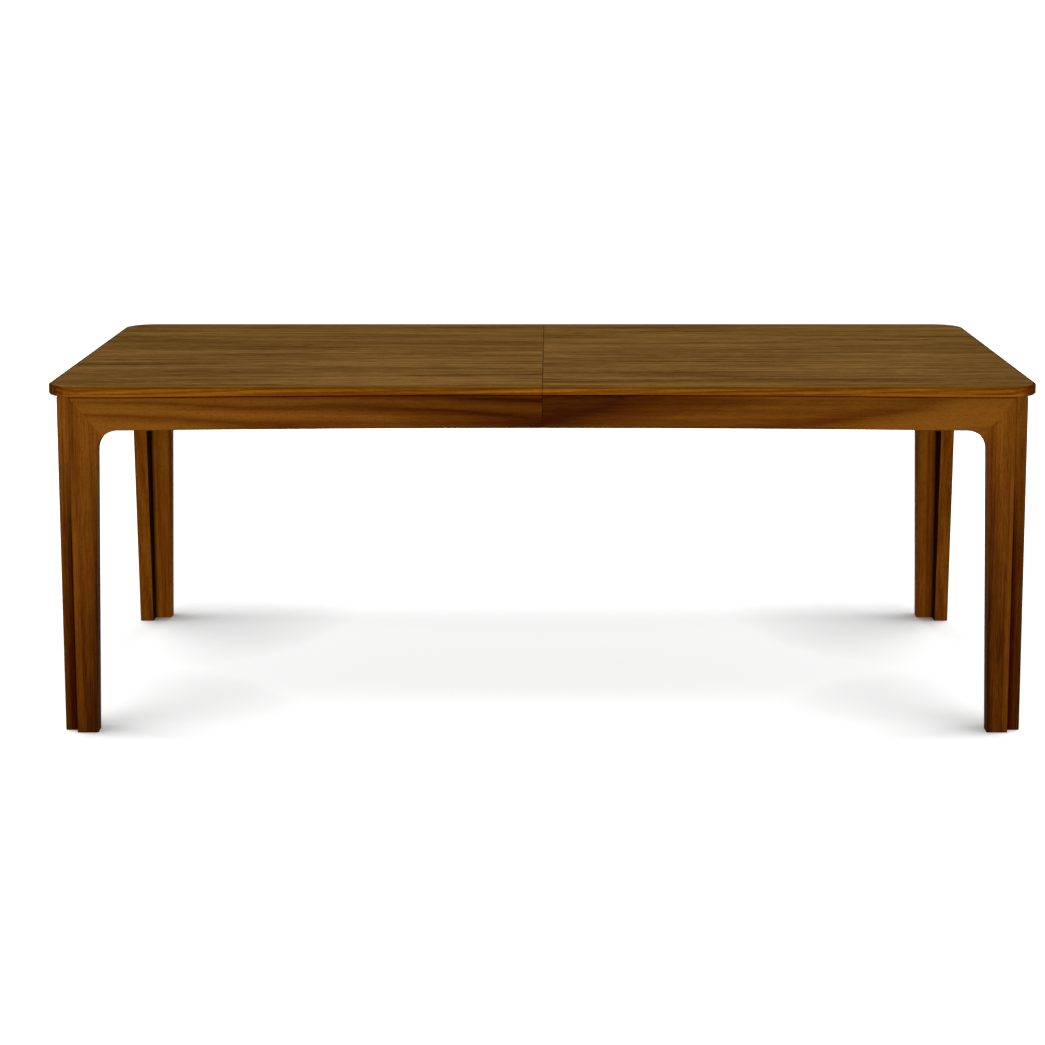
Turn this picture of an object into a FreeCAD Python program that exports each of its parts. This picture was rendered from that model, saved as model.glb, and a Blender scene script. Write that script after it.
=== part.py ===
import FreeCAD, Part
import Sketcher
import math
import os

# An extending dining table with a two-part top, mitred board frames, geared slides and a folding leaf.
# +X runs along the table, +Y from the front to the rear, +Z up. The origin is on the floor, under the
# middle of the top. Lengths are in millimetres and angles in degrees.

Vector = FreeCAD.Vector

SIZES = {
    # Whole table
    "table_length": 2020,
    "table_width": 1000,
    "table_height": 725,
    "end_overhang": 20,
    "side_overhang": 10,
    "seam_gap": 0.1,
    "overrun": 4,
    # Top
    "top_thickness": 21,
    "top_corner": 65,
    "top_upper_round": 2.5,
    "top_lower_chamfer": 2.5,
    "seam_chamfer": 0.8,
    # Board frames under the top
    "board_thickness": 32,
    "lip_thickness": 10,
    "lip_clearance": 2,
    "apron_height": 67,
    "shadow_gap": 3,
    "arch_rise": 5.3,
    "arch_run": 15,
    "side_frame_inset": 28,
    "end_frame_inset": 20,
    "side_leg_foot": 43,
    "side_leg_top": 57,
    "end_leg_foot": 45,
    "end_leg_top": 90,
    "inner_corner": 43,
    "board_round": 3.5,
    "lip_chamfer": 1.2,
    "inner_chamfer": 1.5,
    "block_leg": 72,
    "block_height": 44,
    "block_nose": 14,
    "block_screw_share": 0.35,
    "cleat_length": 60,
    "cleat_size": 24,
    "cleat_near": 150,
    "cleat_end_gap": 106,
    # Leaf and the travel it needs
    "leaf_length": 450,
    "fold_chamfer": 4.5,
    "hinge_spacing": 160,
    "hinge_length": 60,
    "hinge_width": 26,
    "hinge_plate": 1.2,
    "hinge_knuckle": 3,
    "knuckle_count": 3,
    "pin_sides": 12,
    "hinge_pin": 1.5,
    "hinge_play": 0.3,
    "pin_fit": 0.05,
    # Slides
    "leaf_side_gap": 7,
    "rail_height": 47,
    "rail_top_gap": 0.4,
    "rail_drop": 0.4,
    "rail_thickness": 24,
    "rail_gap": 0.5,
    "rail_reach": 300,
    "rail_tail": 560,
    "carrier_thickness": 22,
    "carrier_half": 430,
    "tongue_level": 13,
    "tongue_neck": 6,
    "tongue_tip": 9,
    "tongue_depth": 6,
    "tongue_clearance": 0.4,
    # Gearing
    "tooth_module": 2,
    "pinion_teeth": 18,
    "pressure_angle": 20,
    "dedendum_share": 1.25,
    "backlash": 0.3,
    "gear_level": 34,
    "rack_height": 8,
    "rack_backing": 3,
    "rack_spare_teeth": 2,
    "pinion_height": 7,
    "axle_radius": 3,
    "axle_head": 10,
    # Bearers and cross rails
    "bearer_offset": 120,
    "bearer_width": 60,
    "bearer_thickness": 15,
    "cross_rail_offset": 250,
    "cross_rail_width": 60,
    "cross_rail_clearance": 0.3,
    # Alignment pins in the seam
    "seam_pin_radius": 4,
    "seam_pin_insert": 18,
    "seam_pin_reach": 10,
    "seam_pin_inset": 160,
    "seam_socket_play": 0.3,
    # Seam catches
    "catch_edge_gap": 22,
    "catch_inset": 20,
    "catch_plate": 2,
    "catch_plate_length": 34,
    "catch_plate_width": 28,
    "catch_pivot": 4,
    "catch_play": 0.3,
    "catch_hook": 3,
    "catch_arm": 9,
    "catch_stud": 3,
    "catch_slot_play": 1.2,
    "catch_tab": 10,
    # Wood screws
    "screw_shank": 2.5,
    "screw_head": 4.5,
    "screw_head_height": 3,
    "screw_bite": 14,
    "screw_fit": 0.05,
    "screw_sides": 8,
}

doc = FreeCAD.newDocument("extending_table")
sheet = doc.addObject("Spreadsheet::Sheet", "sizes")
for row, (alias, amount) in enumerate(SIZES.items(), 1):
    sheet.set(f"A{row}", alias)
    sheet.set(f"B{row}", str(amount))
    sheet.setAlias(f"B{row}", alias)
doc.recompute()


def ex(text):
    """An expression over the sheet, from which every word that is a size's alias is read."""
    spaced = text.replace("(", " ( ").replace(")", " ) ").split()
    expression = " ".join(f"sizes.{word}" if word in SIZES else word for word in spaced)
    for function in ("sqrt", "floor", "tan"):
        expression = expression.replace(f"{function} (", f"{function}(")
    return f"({expression})"


def minus(expression):
    return f"(0 - {expression})"


def mm(expression):
    """The number that an expression over the sheet has now."""
    return float(sheet.evalExpression(expression))


# Levels and edges that several pieces share, each worked out from the sheet
FRAME_TOP = ex("table_height - top_thickness")
LIP_TOP = ex(f"{FRAME_TOP} - shadow_gap")
APRON_BOTTOM = ex(f"{LIP_TOP} - apron_height")
SEAM = ex("seam_gap / 2")
TOP_END = ex("table_length / 2")
TOP_SIDE = ex("table_width / 2")
FRAME_END = ex(f"{TOP_END} - end_overhang")
FRAME_SIDE = ex(f"{TOP_SIDE} - side_overhang")
FRAME_INNER_END = ex(f"{FRAME_END} - board_thickness")
FRAME_INNER_SIDE = ex(f"{FRAME_SIDE} - board_thickness")
SIDE_BOARD_END = ex(f"{FRAME_END} - side_frame_inset")
END_BOARD_SIDE = ex(f"{FRAME_SIDE} - end_frame_inset")
ARCH_HALF = ex(f"{SIDE_BOARD_END} - side_leg_top - inner_corner - arch_run")
ARCH_RADIUS = ex(f"( {ARCH_HALF} ^ 2 + arch_rise ^ 2 ) / ( 2 * arch_rise )")
ARCH_SAG = ex("arch_rise + overrun")
ARCH_REACH = ex(f"sqrt( 2 * {ARCH_RADIUS} * {ARCH_SAG} - {ARCH_SAG} ^ 2 )")
RELIEF_DEPTH = ex("side_overhang + lip_thickness + lip_clearance")
RAIL_TOP = ex(f"{FRAME_TOP} - rail_top_gap")
RAIL_BOTTOM = ex(f"{RAIL_TOP} - rail_height")
CARRIER_BOTTOM = ex(f"{RAIL_BOTTOM} - rail_drop")
TONGUE_MIDDLE = ex(f"{RAIL_TOP} - tongue_level")
GEAR_MIDDLE = ex(f"{RAIL_TOP} - gear_level")
PITCH_RADIUS = ex("tooth_module * pinion_teeth / 2")
TIP_RADIUS = ex(f"{PITCH_RADIUS} + tooth_module")
DEDENDUM = ex("tooth_module * dedendum_share")
RACK_BACK = ex(f"{PITCH_RADIUS} + {DEDENDUM} + rack_backing")
RAIL_FACE = ex("carrier_thickness / 2 + rail_gap")
FOLD_LEVEL = ex(f"{CARRIER_BOTTOM} + top_thickness + hinge_plate")
CATCH_LEVEL = ex(f"{FRAME_TOP} - catch_plate - catch_play")
LEAF_HALF_WIDTH = ex(f"{TOP_SIDE} / 2")
ROW_OFFSET = ex(f"{LEAF_HALF_WIDTH} + leaf_side_gap + rail_thickness + {RAIL_FACE}")
SCREW_HOLE = ex("screw_shank + screw_fit")
SEAM_PIN_PLACE = ex(f"{TOP_SIDE} - seam_pin_inset")
CATCH_ROW = ex(f"{FRAME_INNER_SIDE} - catch_edge_gap")

# How close two coordinates are taken to be the same, a tolerance for picking edges
TOUCH = 0.01
QUARTER_TURN = 90
ACROSS_X = Vector(1, 0, 0)
ACROSS_Y = Vector(0, 1, 0)
ACROSS_Z = Vector(0, 0, 1)


def plane_of(body, role):
    return next(feature for feature in body.Origin.OriginFeatures if feature.Role == role)


def new_body(name):
    body = doc.addObject("PartDesign::Body", name)
    body.Label = name
    return body


def new_sketch(body, name, role, offset="0"):
    sketch = body.newObject("Sketcher::SketchObject", name)
    sketch.AttachmentSupport = [(plane_of(body, role), "")]
    sketch.MapMode = "FlatFace"
    sketch.setExpression("AttachmentOffset.Base.z", offset)
    return sketch


def bound(sketch, kind, *items):
    """Adds a dimension whose last item is an expression, and binds it to that expression."""
    *places, expression = items
    number = sketch.addConstraint(Sketcher.Constraint(kind, *places, mm(expression)))
    sketch.setExpression(f"Constraints[{number}]", expression)


def round_edge(start, end, radius, left):
    """The short arc from start to end, its centre on the left or right of the way there."""
    chord = end - start
    middle = (start + end) / 2
    rise = math.sqrt(max(radius**2 - chord.Length**2 / 4, 0))
    aside = Vector(-chord.y, chord.x, 0).normalize() * (rise if left else -rise)
    centre = middle + aside
    first, last = (start, end) if left else (end, start)
    circle = Part.Circle(centre, Vector(0, 0, 1), radius)
    return Part.ArcOfCircle(circle, circle.parameter(first), circle.parameter(last))


def outline(sketch, corners):
    """Draws a closed outline.

    A corner is (x, y), or (x, y, radius, "left" or "right") where an arc leaves it. A radius of None is a
    half circle to a corner at the same height.
    """
    base = sketch.GeometryCount
    points = [Vector(mm(corner[0]), mm(corner[1]), 0) for corner in corners]
    starts = []
    ends = []
    for place, corner in enumerate(corners):
        start, end = points[place], points[(place + 1) % len(points)]
        left = len(corner) > 2 and corner[3] == "left"
        if len(corner) > 2:
            radius = mm(corner[2]) if corner[2] else (end - start).Length / 2
            sketch.addGeometry(round_edge(start, end, radius, left))
        else:
            sketch.addGeometry(Part.LineSegment(start, end))
        backwards = len(corner) > 2 and not left
        starts.append(2 if backwards else 1)
        ends.append(1 if backwards else 2)
    for place, corner in enumerate(corners):
        after = (place + 1) % len(corners)
        sketch.addConstraint(
            Sketcher.Constraint("Coincident", base + place, ends[place], base + after, starts[after])
        )
        bound(sketch, "DistanceX", -1, 1, base + place, starts[place], corner[0])
        bound(sketch, "DistanceY", -1, 1, base + place, starts[place], corner[1])
        if len(corner) > 2 and corner[2]:
            bound(sketch, "Radius", base + place, corner[2])
        elif len(corner) > 2:
            bound(sketch, "DistanceY", -1, 1, base + place, 3, corner[1])


def ring(sketch, x, y, radius):
    """Draws a circle."""
    place = sketch.GeometryCount
    sketch.addGeometry(Part.Circle(Vector(mm(x), mm(y), 0), Vector(0, 0, 1), mm(radius)))
    bound(sketch, "DistanceX", -1, 1, place, 3, x)
    bound(sketch, "DistanceY", -1, 1, place, 3, y)
    bound(sketch, "Radius", place, radius)


def box_corners(low_x, low_y, high_x, high_y):
    return [(low_x, low_y), (high_x, low_y), (high_x, high_y), (low_x, high_y)]


def extrude(body, kind, sketch, length, reverse=False):
    feature = body.newObject(f"PartDesign::{kind}", f"{body.Name}_{kind.lower()}")
    feature.Profile = sketch
    feature.setExpression("Length", length)
    feature.Reversed = reverse
    return feature


def pad(body, role, offset, corners, length, reverse=False):
    """Adds a prism: the outline in the plane of that role, moved along its normal, then padded."""
    sketch = new_sketch(body, f"{body.Name}_outline", role, offset)
    outline(sketch, corners)
    return extrude(body, "Pad", sketch, length, reverse)


def pocket(body, role, offset, corners, length, reverse=False):
    """Cuts a prism against the plane's normal, or along it if reversed, and tells if nothing was cut."""
    doc.recompute()
    before = body.Shape.Volume
    sketch = new_sketch(body, f"{body.Name}_cut", role, offset)
    outline(sketch, corners)
    feature = extrude(body, "Pocket", sketch, length, reverse)
    check_cut(body, feature, before)
    return feature


def bore(body, role, offset, centres, radius, length, reverse=False):
    """Cuts round holes at the centres."""
    doc.recompute()
    before = body.Shape.Volume
    sketch = new_sketch(body, f"{body.Name}_holes", role, offset)
    for x, y in centres:
        ring(sketch, x, y, radius)
    feature = extrude(body, "Pocket", sketch, length, reverse)
    check_cut(body, feature, before)
    return feature


def check_cut(body, feature, before):
    doc.recompute()
    if not body.Shape.Volume < before:
        raise RuntimeError(f"{feature.Name} cuts nothing")


def round_over(body, size, wanted, name="round", kind="Fillet", measure="Radius"):
    """Rounds or chamfers the edges of the body that the test picks by the edge's ends and middle."""
    doc.recompute()
    base = body.Tip
    edges = []
    for number, edge in enumerate(base.Shape.Edges, 1):
        first, last = edge.ParameterRange
        if wanted(edge.valueAt(first), edge.valueAt((first + last) / 2), edge.valueAt(last)):
            edges.append(f"Edge{number}")
    if not edges:
        raise RuntimeError(f"{body.Name} has no edge to round for {name}")
    feature = body.newObject(f"PartDesign::{kind}", f"{body.Name}_{name}")
    feature.Base = (base, edges)
    feature.setExpression(measure, size)
    doc.recompute()
    return feature


def chamfer(body, size, wanted, name="chamfer"):
    return round_over(body, size, wanted, name, "Chamfer", "Size")


def near(one, other):
    return abs(one - other) < TOUCH


def mirrored(name, source, normal, base=None):
    """A mirror image of a piece, through the origin or through a level given as an expression."""
    image = doc.addObject("Part::Mirroring", name)
    image.Label = name
    image.Source = source
    image.Normal = normal
    if base:
        image.setExpression("Base.z", base)
    return image


def combined(kind, name, base, tool):
    result = doc.addObject(f"Part::{kind}", name)
    result.Label = name
    result.Base = base
    result.Tool = tool
    return result


def mirrored_set(name, source, sides, images):
    """Keeps a piece and its mirror images under the side names, such as front_left."""
    pieces = {sides[0]: source}
    for side, (origin, normal) in zip(sides[1:], images):
        pieces[side] = mirrored(f"{name}_{side}", pieces[origin], normal)
    return pieces


CORNERS = ("front_left", "rear_left", "front_right", "rear_right")
CORNER_IMAGES = (("front_left", ACROSS_Y), ("front_left", ACROSS_X), ("rear_left", ACROSS_X))
pieces = {}


def keep(name, piece):
    piece.Label = name
    pieces[name] = piece
    return piece


def primitive(kind, name, place, turn=None, **measures):
    """A Part primitive whose sizes and place are bound to expressions."""
    solid = doc.addObject(f"Part::{kind}", name)
    for measure, expression in measures.items():
        solid.setExpression(measure, expression)
    if turn:
        solid.Placement = FreeCAD.Placement(Vector(), FreeCAD.Rotation(*turn))
    for axis, expression in zip("xyz", place):
        solid.setExpression(f"Placement.Base.{axis}", expression)
    return solid


def box(name, low, lengths):
    """A box from its low corner and its lengths along X, Y and Z."""
    return primitive("Box", name, low, Length=lengths[0], Width=lengths[1], Height=lengths[2])


def rod(name, foot, radius, length, along="Z"):
    """A round bar from the middle of its foot, along X or Z."""
    turn = (ACROSS_Y, QUARTER_TURN) if along == "X" else None
    return primitive("Cylinder", name, foot, turn, Radius=radius, Height=length)


def sided_rod(name, foot, radius, length, sides, along="Z"):
    """A small bar drawn with a few flat sides, along X or Z."""
    turn = (ACROSS_Y, QUARTER_TURN) if along == "X" else None
    return primitive("Prism", name, foot, turn, Polygon=sides, Circumradius=radius, Height=length)


def fused(name, parts):
    result = doc.addObject("Part::MultiFuse", name)
    result.Shapes = parts
    return result


def group(name, parts):
    """Several separate solids in one node."""
    result = doc.addObject("Part::Compound", name)
    result.Links = parts
    return result


def keep_at_corners(name, source):
    """Keeps a front left piece and its images at the other three corners."""
    for corner, piece in mirrored_set(name, source, CORNERS, CORNER_IMAGES).items():
        keep(f"{name}_{corner}", piece)


# Tops and the screws that hold them down

SEAM_PIN_LEVEL = ex(f"{FRAME_TOP} + top_thickness / 2")
CLEAT_MIDDLE = ex(f"{FRAME_INNER_SIDE} - cleat_size / 2")
CLEAT_FAR = ex(f"{FRAME_INNER_END} - block_leg - cleat_end_gap - cleat_length / 2")
CLEAT_PLACES = [minus("sizes.cleat_near"), minus(ex(f"( cleat_near + {CLEAT_FAR} ) / 2")), minus(CLEAT_FAR)]
BLOCK_SCREW_X = ex(f"{FRAME_INNER_END} - block_leg * block_screw_share")
BLOCK_SCREW_Y = ex(f"{FRAME_INNER_SIDE} - block_leg * block_screw_share")
CLEAT_SCREWS = [(x, side(CLEAT_MIDDLE)) for x in CLEAT_PLACES for side in (minus, str)]
BLOCK_SCREWS = [(minus(BLOCK_SCREW_X), side(BLOCK_SCREW_Y)) for side in (minus, str)]
SCREW_DEPTHS = {"sizes.cleat_size": CLEAT_SCREWS, "sizes.block_height": BLOCK_SCREWS}
SCREW_SIDES = "sizes.screw_sides"
ROUND = "sizes.pin_sides"


def make_screw_holes():
    """The left half's screw holes, as solids to cut from the cleats, the corner blocks and the top."""
    holes = []
    for depth, places in SCREW_DEPTHS.items():
        for x, y in places:
            foot = (x, y, ex(f"{FRAME_TOP} - {depth} - overrun"))
            length = ex(f"{depth} + overrun + screw_bite + screw_fit")
            holes.append(sided_rod(f"screw_hole_{len(holes)}", foot, SCREW_HOLE, length, SCREW_SIDES))
    return group("screw_holes_left", holes)


def make_top(half):
    """One half of the top, without its screw holes."""
    body = new_body(f"top_{half}_unbored")
    corner = "sizes.top_corner"
    inset_end = ex(f"{TOP_END} - top_corner")
    inset_side = ex(f"{TOP_SIDE} - top_corner")
    plan = [
        (minus(SEAM), TOP_SIDE),
        (minus(inset_end), TOP_SIDE, corner, "left"),
        (minus(TOP_END), inset_side),
        (minus(TOP_END), minus(inset_side), corner, "left"),
        (minus(inset_end), minus(TOP_SIDE)),
        (minus(SEAM), minus(TOP_SIDE)),
    ]
    if half == "right":
        swap = {"left": "right"}
        plan = [(minus(p[0]), *p[1:3], *(swap[side] for side in p[3:])) for p in plan]
    pad(body, "XY_Plane", FRAME_TOP, plan, "sizes.top_thickness")
    high, seam = mm("sizes.table_height"), mm(SEAM)

    def seam_edge(*points):
        return all(near(abs(p.x), seam) and near(p.z, high) for p in points)

    chamfer(body, "sizes.seam_chamfer", seam_edge)
    # The underside rises towards the seam over the aprons' lips.
    below = ex(f"{FRAME_TOP} - overrun")
    relief = [(ARCH_REACH, below, ARCH_RADIUS, "left"), (minus(ARCH_REACH), below)]
    depth = ex(f"{RELIEF_DEPTH} + overrun")
    for start in (ex(f"{TOP_SIDE} + overrun"), minus(ex(f"{TOP_SIDE} - {RELIEF_DEPTH}"))):
        pocket(body, "XZ_Plane", start, relief, depth)
    holes = [(side(SEAM_PIN_PLACE), SEAM_PIN_LEVEL) for side in (minus, str)]
    if half == "left":
        bore(body, "YZ_Plane", "0", holes, ex("seam_pin_radius + pin_fit"), ex("seam_pin_insert + pin_fit"))
    else:
        reach = ex("seam_pin_reach + seam_gap + overrun")
        bore(body, "YZ_Plane", "0", holes, ex("seam_pin_radius + seam_socket_play"), reach, reverse=True)
    outer, far = mm(TOP_SIDE), mm(TOP_END)

    def upper_rim(*points):
        return all(near(p.z, high) for p in points) and any(abs(p.x) > mm("sizes.top_corner") for p in points)

    def on_rim(point):
        beside = near(abs(point.y), outer) or near(abs(point.x), far)
        return beside or (abs(point.y) > mm(inset_side) and abs(point.x) > mm(inset_end))

    def lower_rim(*points):
        bottom = all(p.z < high - mm("sizes.top_thickness") / 2 for p in points)
        upright = near(points[0].x, points[2].x) and near(points[0].y, points[2].y)
        return bottom and all(on_rim(p) for p in points) and not upright

    round_over(body, "sizes.top_upper_round", upper_rim, "upper")
    chamfer(body, "sizes.top_lower_chamfer", lower_rim, "lower")
    return body


SCREW_HOLES = make_screw_holes()
keep("top_left", combined("Cut", "top_left", make_top("left"), SCREW_HOLES))
right_holes = mirrored("screw_holes_right", SCREW_HOLES, ACROSS_X)
keep("top_right", combined("Cut", "top_right", make_top("right"), right_holes))

# Board frames: each side frame and end frame is drawn whole, then parted along its mitres

MITRE_RISE = ex(f"{FRAME_TOP} - {APRON_BOTTOM}")


def arched(end, level):
    """An outline edge that falls from the seam to the arch's start, then a corner there."""
    return [(end, ex(f"{level} + arch_rise"), ARCH_RADIUS, "left"), (minus(ARCH_HALF), level)]


def ease_edges(body, front, across, along, end):
    """Eases the arrises of a frame's outer face.

    The face lies at a level across the frame. The outline's outer end, at a distance along it, and its
    feet are rounded, and the rest of its edges, the lip's and the seam's are chamfered.
    """
    face, lip, outer = mm(front), mm(LIP_TOP), mm(end)
    arch, seam = mm("sizes.arch_rise"), mm(SEAM)

    def outer_edge(*points):
        at_end = all(near(abs(along(p)), outer) for p in points)
        at_foot = all(near(p.z, 0) for p in points)
        return all(near(across(p), face) for p in points) and (at_end or at_foot)

    def lip_edge(*points):
        return all(near(across(p), face) and lip - TOUCH < p.z < lip + arch + TOUCH for p in points)

    def inner_edge(*points):
        inside = not all(near(abs(along(p)), outer) or near(abs(along(p)), seam) for p in points)
        below = any(TOUCH < p.z < lip - mm("sizes.board_round") - TOUCH for p in points)
        return all(near(across(p), face) for p in points) and inside and below

    chamfer(body, "sizes.lip_chamfer", lip_edge, "lip")
    chamfer(body, "sizes.inner_chamfer", inner_edge, "inner")
    round_over(body, "sizes.board_round", outer_edge, "round")


def corner_edge(x, y, z):
    """A test for the edge that passes through a point, where a coordinate given as None is free."""

    def test(*points):
        wanted = [(axis, value) for axis, value in zip("xyz", (x, y, z)) if value is not None]
        return all(near(getattr(p, axis), value) for axis, value in wanted for p in points)

    return test


def make_side_frame():
    """The front left side frame: half an apron and one leg board, in one outline."""
    body = new_body("side_frame_blank")
    inner_top = ex(f"side_leg_top - {SIDE_BOARD_END}")
    inner_foot = ex(f"side_leg_foot - {SIDE_BOARD_END}")
    lower = [
        (minus(SIDE_BOARD_END), "0"),
        (inner_foot, "0"),
        (inner_top, APRON_BOTTOM),
        (minus(ARCH_HALF), APRON_BOTTOM, ARCH_RADIUS, "right"),
        (minus(SEAM), ex(f"{APRON_BOTTOM} + arch_rise")),
    ]
    back = lower + [(minus(SEAM), FRAME_TOP), (minus(SIDE_BOARD_END), FRAME_TOP)]
    lip = lower + arched(minus(SEAM), LIP_TOP) + [(minus(SIDE_BOARD_END), LIP_TOP)]
    lip_back = ex(f"{FRAME_SIDE} - lip_thickness")
    pad(body, "XZ_Plane", FRAME_INNER_SIDE, back, ex("board_thickness - lip_thickness"))
    pad(body, "XZ_Plane", lip_back, lip, "sizes.lip_thickness")
    inner = corner_edge(mm(inner_top), None, mm(APRON_BOTTOM))
    round_over(body, "sizes.inner_corner", inner, "corner")
    ease_edges(body, minus(FRAME_SIDE), lambda p: p.y, lambda p: p.x, SIDE_BOARD_END)
    rebate = box_corners(
        ex(f"0 - {SIDE_BOARD_END} - overrun"),
        minus(END_BOARD_SIDE),
        minus(FRAME_INNER_END),
        ex(f"overrun - {FRAME_INNER_SIDE}"),
    )
    pocket(body, "XY_Plane", minus("sizes.overrun"), rebate, ex("table_height + overrun"), reverse=True)
    return body


def make_end_frame():
    """The left end frame: a whole apron between two leg boards."""
    body = new_body("end_frame_blank")
    inner_top = ex(f"{END_BOARD_SIDE} - end_leg_top")
    inner_foot = ex(f"{END_BOARD_SIDE} - end_leg_foot")
    lower = [
        (minus(END_BOARD_SIDE), "0"),
        (minus(inner_foot), "0"),
        (minus(inner_top), APRON_BOTTOM),
        (inner_top, APRON_BOTTOM),
        (inner_foot, "0"),
        (END_BOARD_SIDE, "0"),
    ]
    back = lower + [(END_BOARD_SIDE, FRAME_TOP), (minus(END_BOARD_SIDE), FRAME_TOP)]
    lip = lower + [(END_BOARD_SIDE, LIP_TOP), (minus(END_BOARD_SIDE), LIP_TOP)]
    lip_back = ex(f"lip_thickness - {FRAME_END}")
    pad(body, "YZ_Plane", lip_back, back, ex("board_thickness - lip_thickness"))
    pad(body, "YZ_Plane", minus(FRAME_END), lip, "sizes.lip_thickness")
    doc.recompute()
    inner_y, level = mm(inner_top), mm(APRON_BOTTOM)

    def inner(*points):
        return all(near(abs(p.y), inner_y) and near(p.z, level) for p in points)

    round_over(body, "sizes.inner_corner", inner, "corner")
    ease_edges(body, minus(FRAME_END), lambda p: p.x, lambda p: p.y, END_BOARD_SIDE)
    return body


def make_mitre_tool(name, role, offset, outer, leg_top, side=minus):
    """Everything on the leg's side of a mitre from the outer top corner to the leg's inner corner."""
    body = new_body(name)
    beyond = side(ex(f"{outer} + {leg_top}"))
    within = side(ex(f"{outer} - 2 * {leg_top}"))
    corners = [
        (beyond, ex(f"{FRAME_TOP} + {MITRE_RISE}")),
        (within, ex(f"{APRON_BOTTOM} - {MITRE_RISE}")),
        (within, minus("sizes.overrun")),
        (beyond, minus("sizes.overrun")),
    ]
    pad(body, role, offset, corners, ex("board_thickness + 2 * overrun"))
    return body


side_frame = make_side_frame()
side_tool = make_mitre_tool(
    "side_mitre", "XZ_Plane", ex(f"{FRAME_INNER_SIDE} - overrun"), SIDE_BOARD_END, "sizes.side_leg_top"
)
keep_at_corners("side_leg", combined("Common", "side_leg", side_frame, side_tool))
keep_at_corners("side_apron", combined("Cut", "side_apron", side_frame, side_tool))

end_frame = make_end_frame()
end_tools = [
    make_mitre_tool(
        name, "YZ_Plane", ex(f"0 - {FRAME_END} - overrun"), END_BOARD_SIDE, "sizes.end_leg_top", side
    )
    for name, side in (("end_mitre_front", minus), ("end_mitre_rear", str))
]
keep_at_corners("end_leg", combined("Common", "end_leg", end_frame, end_tools[0]))
end_apron_part = combined("Cut", "end_apron_part", end_frame, end_tools[0])
end_apron = combined("Cut", "end_apron_left", end_apron_part, end_tools[1])
keep("end_apron_left", end_apron)
keep("end_apron_right", mirrored("end_apron_right", end_apron, ACROSS_X))


# Corner blocks, cleats and the screws that hold the tops down


def make_corner_block():
    """The front left block: a triangle with blunt noses, glued in and screwed up into the top."""
    body = new_body("corner_block")
    far_x = ex(f"block_leg - {FRAME_INNER_END}")
    far_y = ex(f"block_leg - {FRAME_INNER_SIDE}")
    plan = [
        (minus(FRAME_INNER_END), minus(FRAME_INNER_SIDE)),
        (far_x, minus(FRAME_INNER_SIDE)),
        (far_x, ex(f"block_nose - {FRAME_INNER_SIDE}")),
        (ex(f"block_nose - {FRAME_INNER_END}"), far_y),
        (minus(FRAME_INNER_END), far_y),
    ]
    bottom = ex(f"{FRAME_TOP} - block_height")
    pad(body, "XY_Plane", bottom, plan, "sizes.block_height")
    return combined("Cut", "corner_block_front_left", body, SCREW_HOLES)


def make_cleats():
    """Three blocks along each side apron of the left half, each bored for its screw."""
    blocks = []
    for number, (x, y) in enumerate(CLEAT_SCREWS):
        low = (ex(f"{x} - cleat_length / 2"), ex(f"{y} - cleat_size / 2"), ex(f"{FRAME_TOP} - cleat_size"))
        lengths = ("sizes.cleat_length", "sizes.cleat_size", "sizes.cleat_size")
        blocks.append(box(f"cleat_{number}", low, lengths))
    return combined("Cut", "cleats_left", group("cleats_unbored", blocks), SCREW_HOLES)


def make_screws():
    """The left half's screws: a round head under each cleat and corner block, its shank up into the top."""
    screws = []
    for depth, places in SCREW_DEPTHS.items():
        for x, y in places:
            number = len(screws)
            seat = ex(f"{FRAME_TOP} - {depth}")
            foot = (x, y, ex(f"{seat} - screw_head_height"))
            parts = [
                sided_rod(f"screw_{name}_{number}", place, radius, length, SCREW_SIDES)
                for name, place, radius, length in (
                    ("head", foot, "sizes.screw_head", "sizes.screw_head_height"),
                    ("shank", (x, y, seat), "sizes.screw_shank", ex(f"{depth} + screw_bite")),
                )
            ]
            screws.append(fused(f"screw_{number}", parts))
    return group("top_screws_left", screws)


keep_at_corners("corner_block", make_corner_block())
for name, source in (("cleats", make_cleats()), ("top_screws", make_screws())):
    keep(f"{name}_left", source)
    keep(f"{name}_right", mirrored(f"{name}_right", source, ACROSS_X))

# Cross rails under the slides, one in each half

CROSS_RAIL_TOP = ex(f"{CARRIER_BOTTOM} - cross_rail_clearance")


def make_board(name, middle, width, half_span, top):
    """A flat board across the table under a level."""
    body = new_body(name)
    plan = box_corners(
        ex(f"{middle} - {width} / 2"), minus(half_span), ex(f"{middle} + {width} / 2"), half_span
    )
    pad(body, "XY_Plane", ex(f"{top} - bearer_thickness"), plan, "sizes.bearer_thickness")
    return body


cross_rail_middle = minus("sizes.cross_rail_offset")
cross_rail = make_board(
    "cross_rail_left", cross_rail_middle, "sizes.cross_rail_width", FRAME_INNER_SIDE, CROSS_RAIL_TOP
)
keep("cross_rail_left", cross_rail)
keep("cross_rail_right", mirrored("cross_rail_right", cross_rail, ACROSS_X))
CARRIER_OUTER = ex(f"{ROW_OFFSET} + carrier_thickness / 2")
bearer = make_board(
    "leaf_bearer_left", minus("sizes.bearer_offset"), "sizes.bearer_width", CARRIER_OUTER, CARRIER_BOTTOM
)
keep("leaf_bearer_left", bearer)
keep("leaf_bearer_right", mirrored("leaf_bearer_right", bearer, ACROSS_X))

# Slides: a carrier between two rails in each row, the outer rail on the left half and the inner on the right

TRAVEL = ex("leaf_length / 2")
TOOTH_PITCH = ex("tooth_module * pi")
PITCH_GAP = ex(f"{TOOTH_PITCH} / 2 + backlash")
SLOPE = "tan( sizes.pressure_angle * 1 deg )"
GEAR_ROOM = ex(f"{TIP_RADIUS} + tongue_clearance")


def outwards(distance):
    """The Y of a place in the front row, a distance out from the carrier's middle."""
    return ex(f"0 - {ROW_OFFSET} - {distance}")


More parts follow.
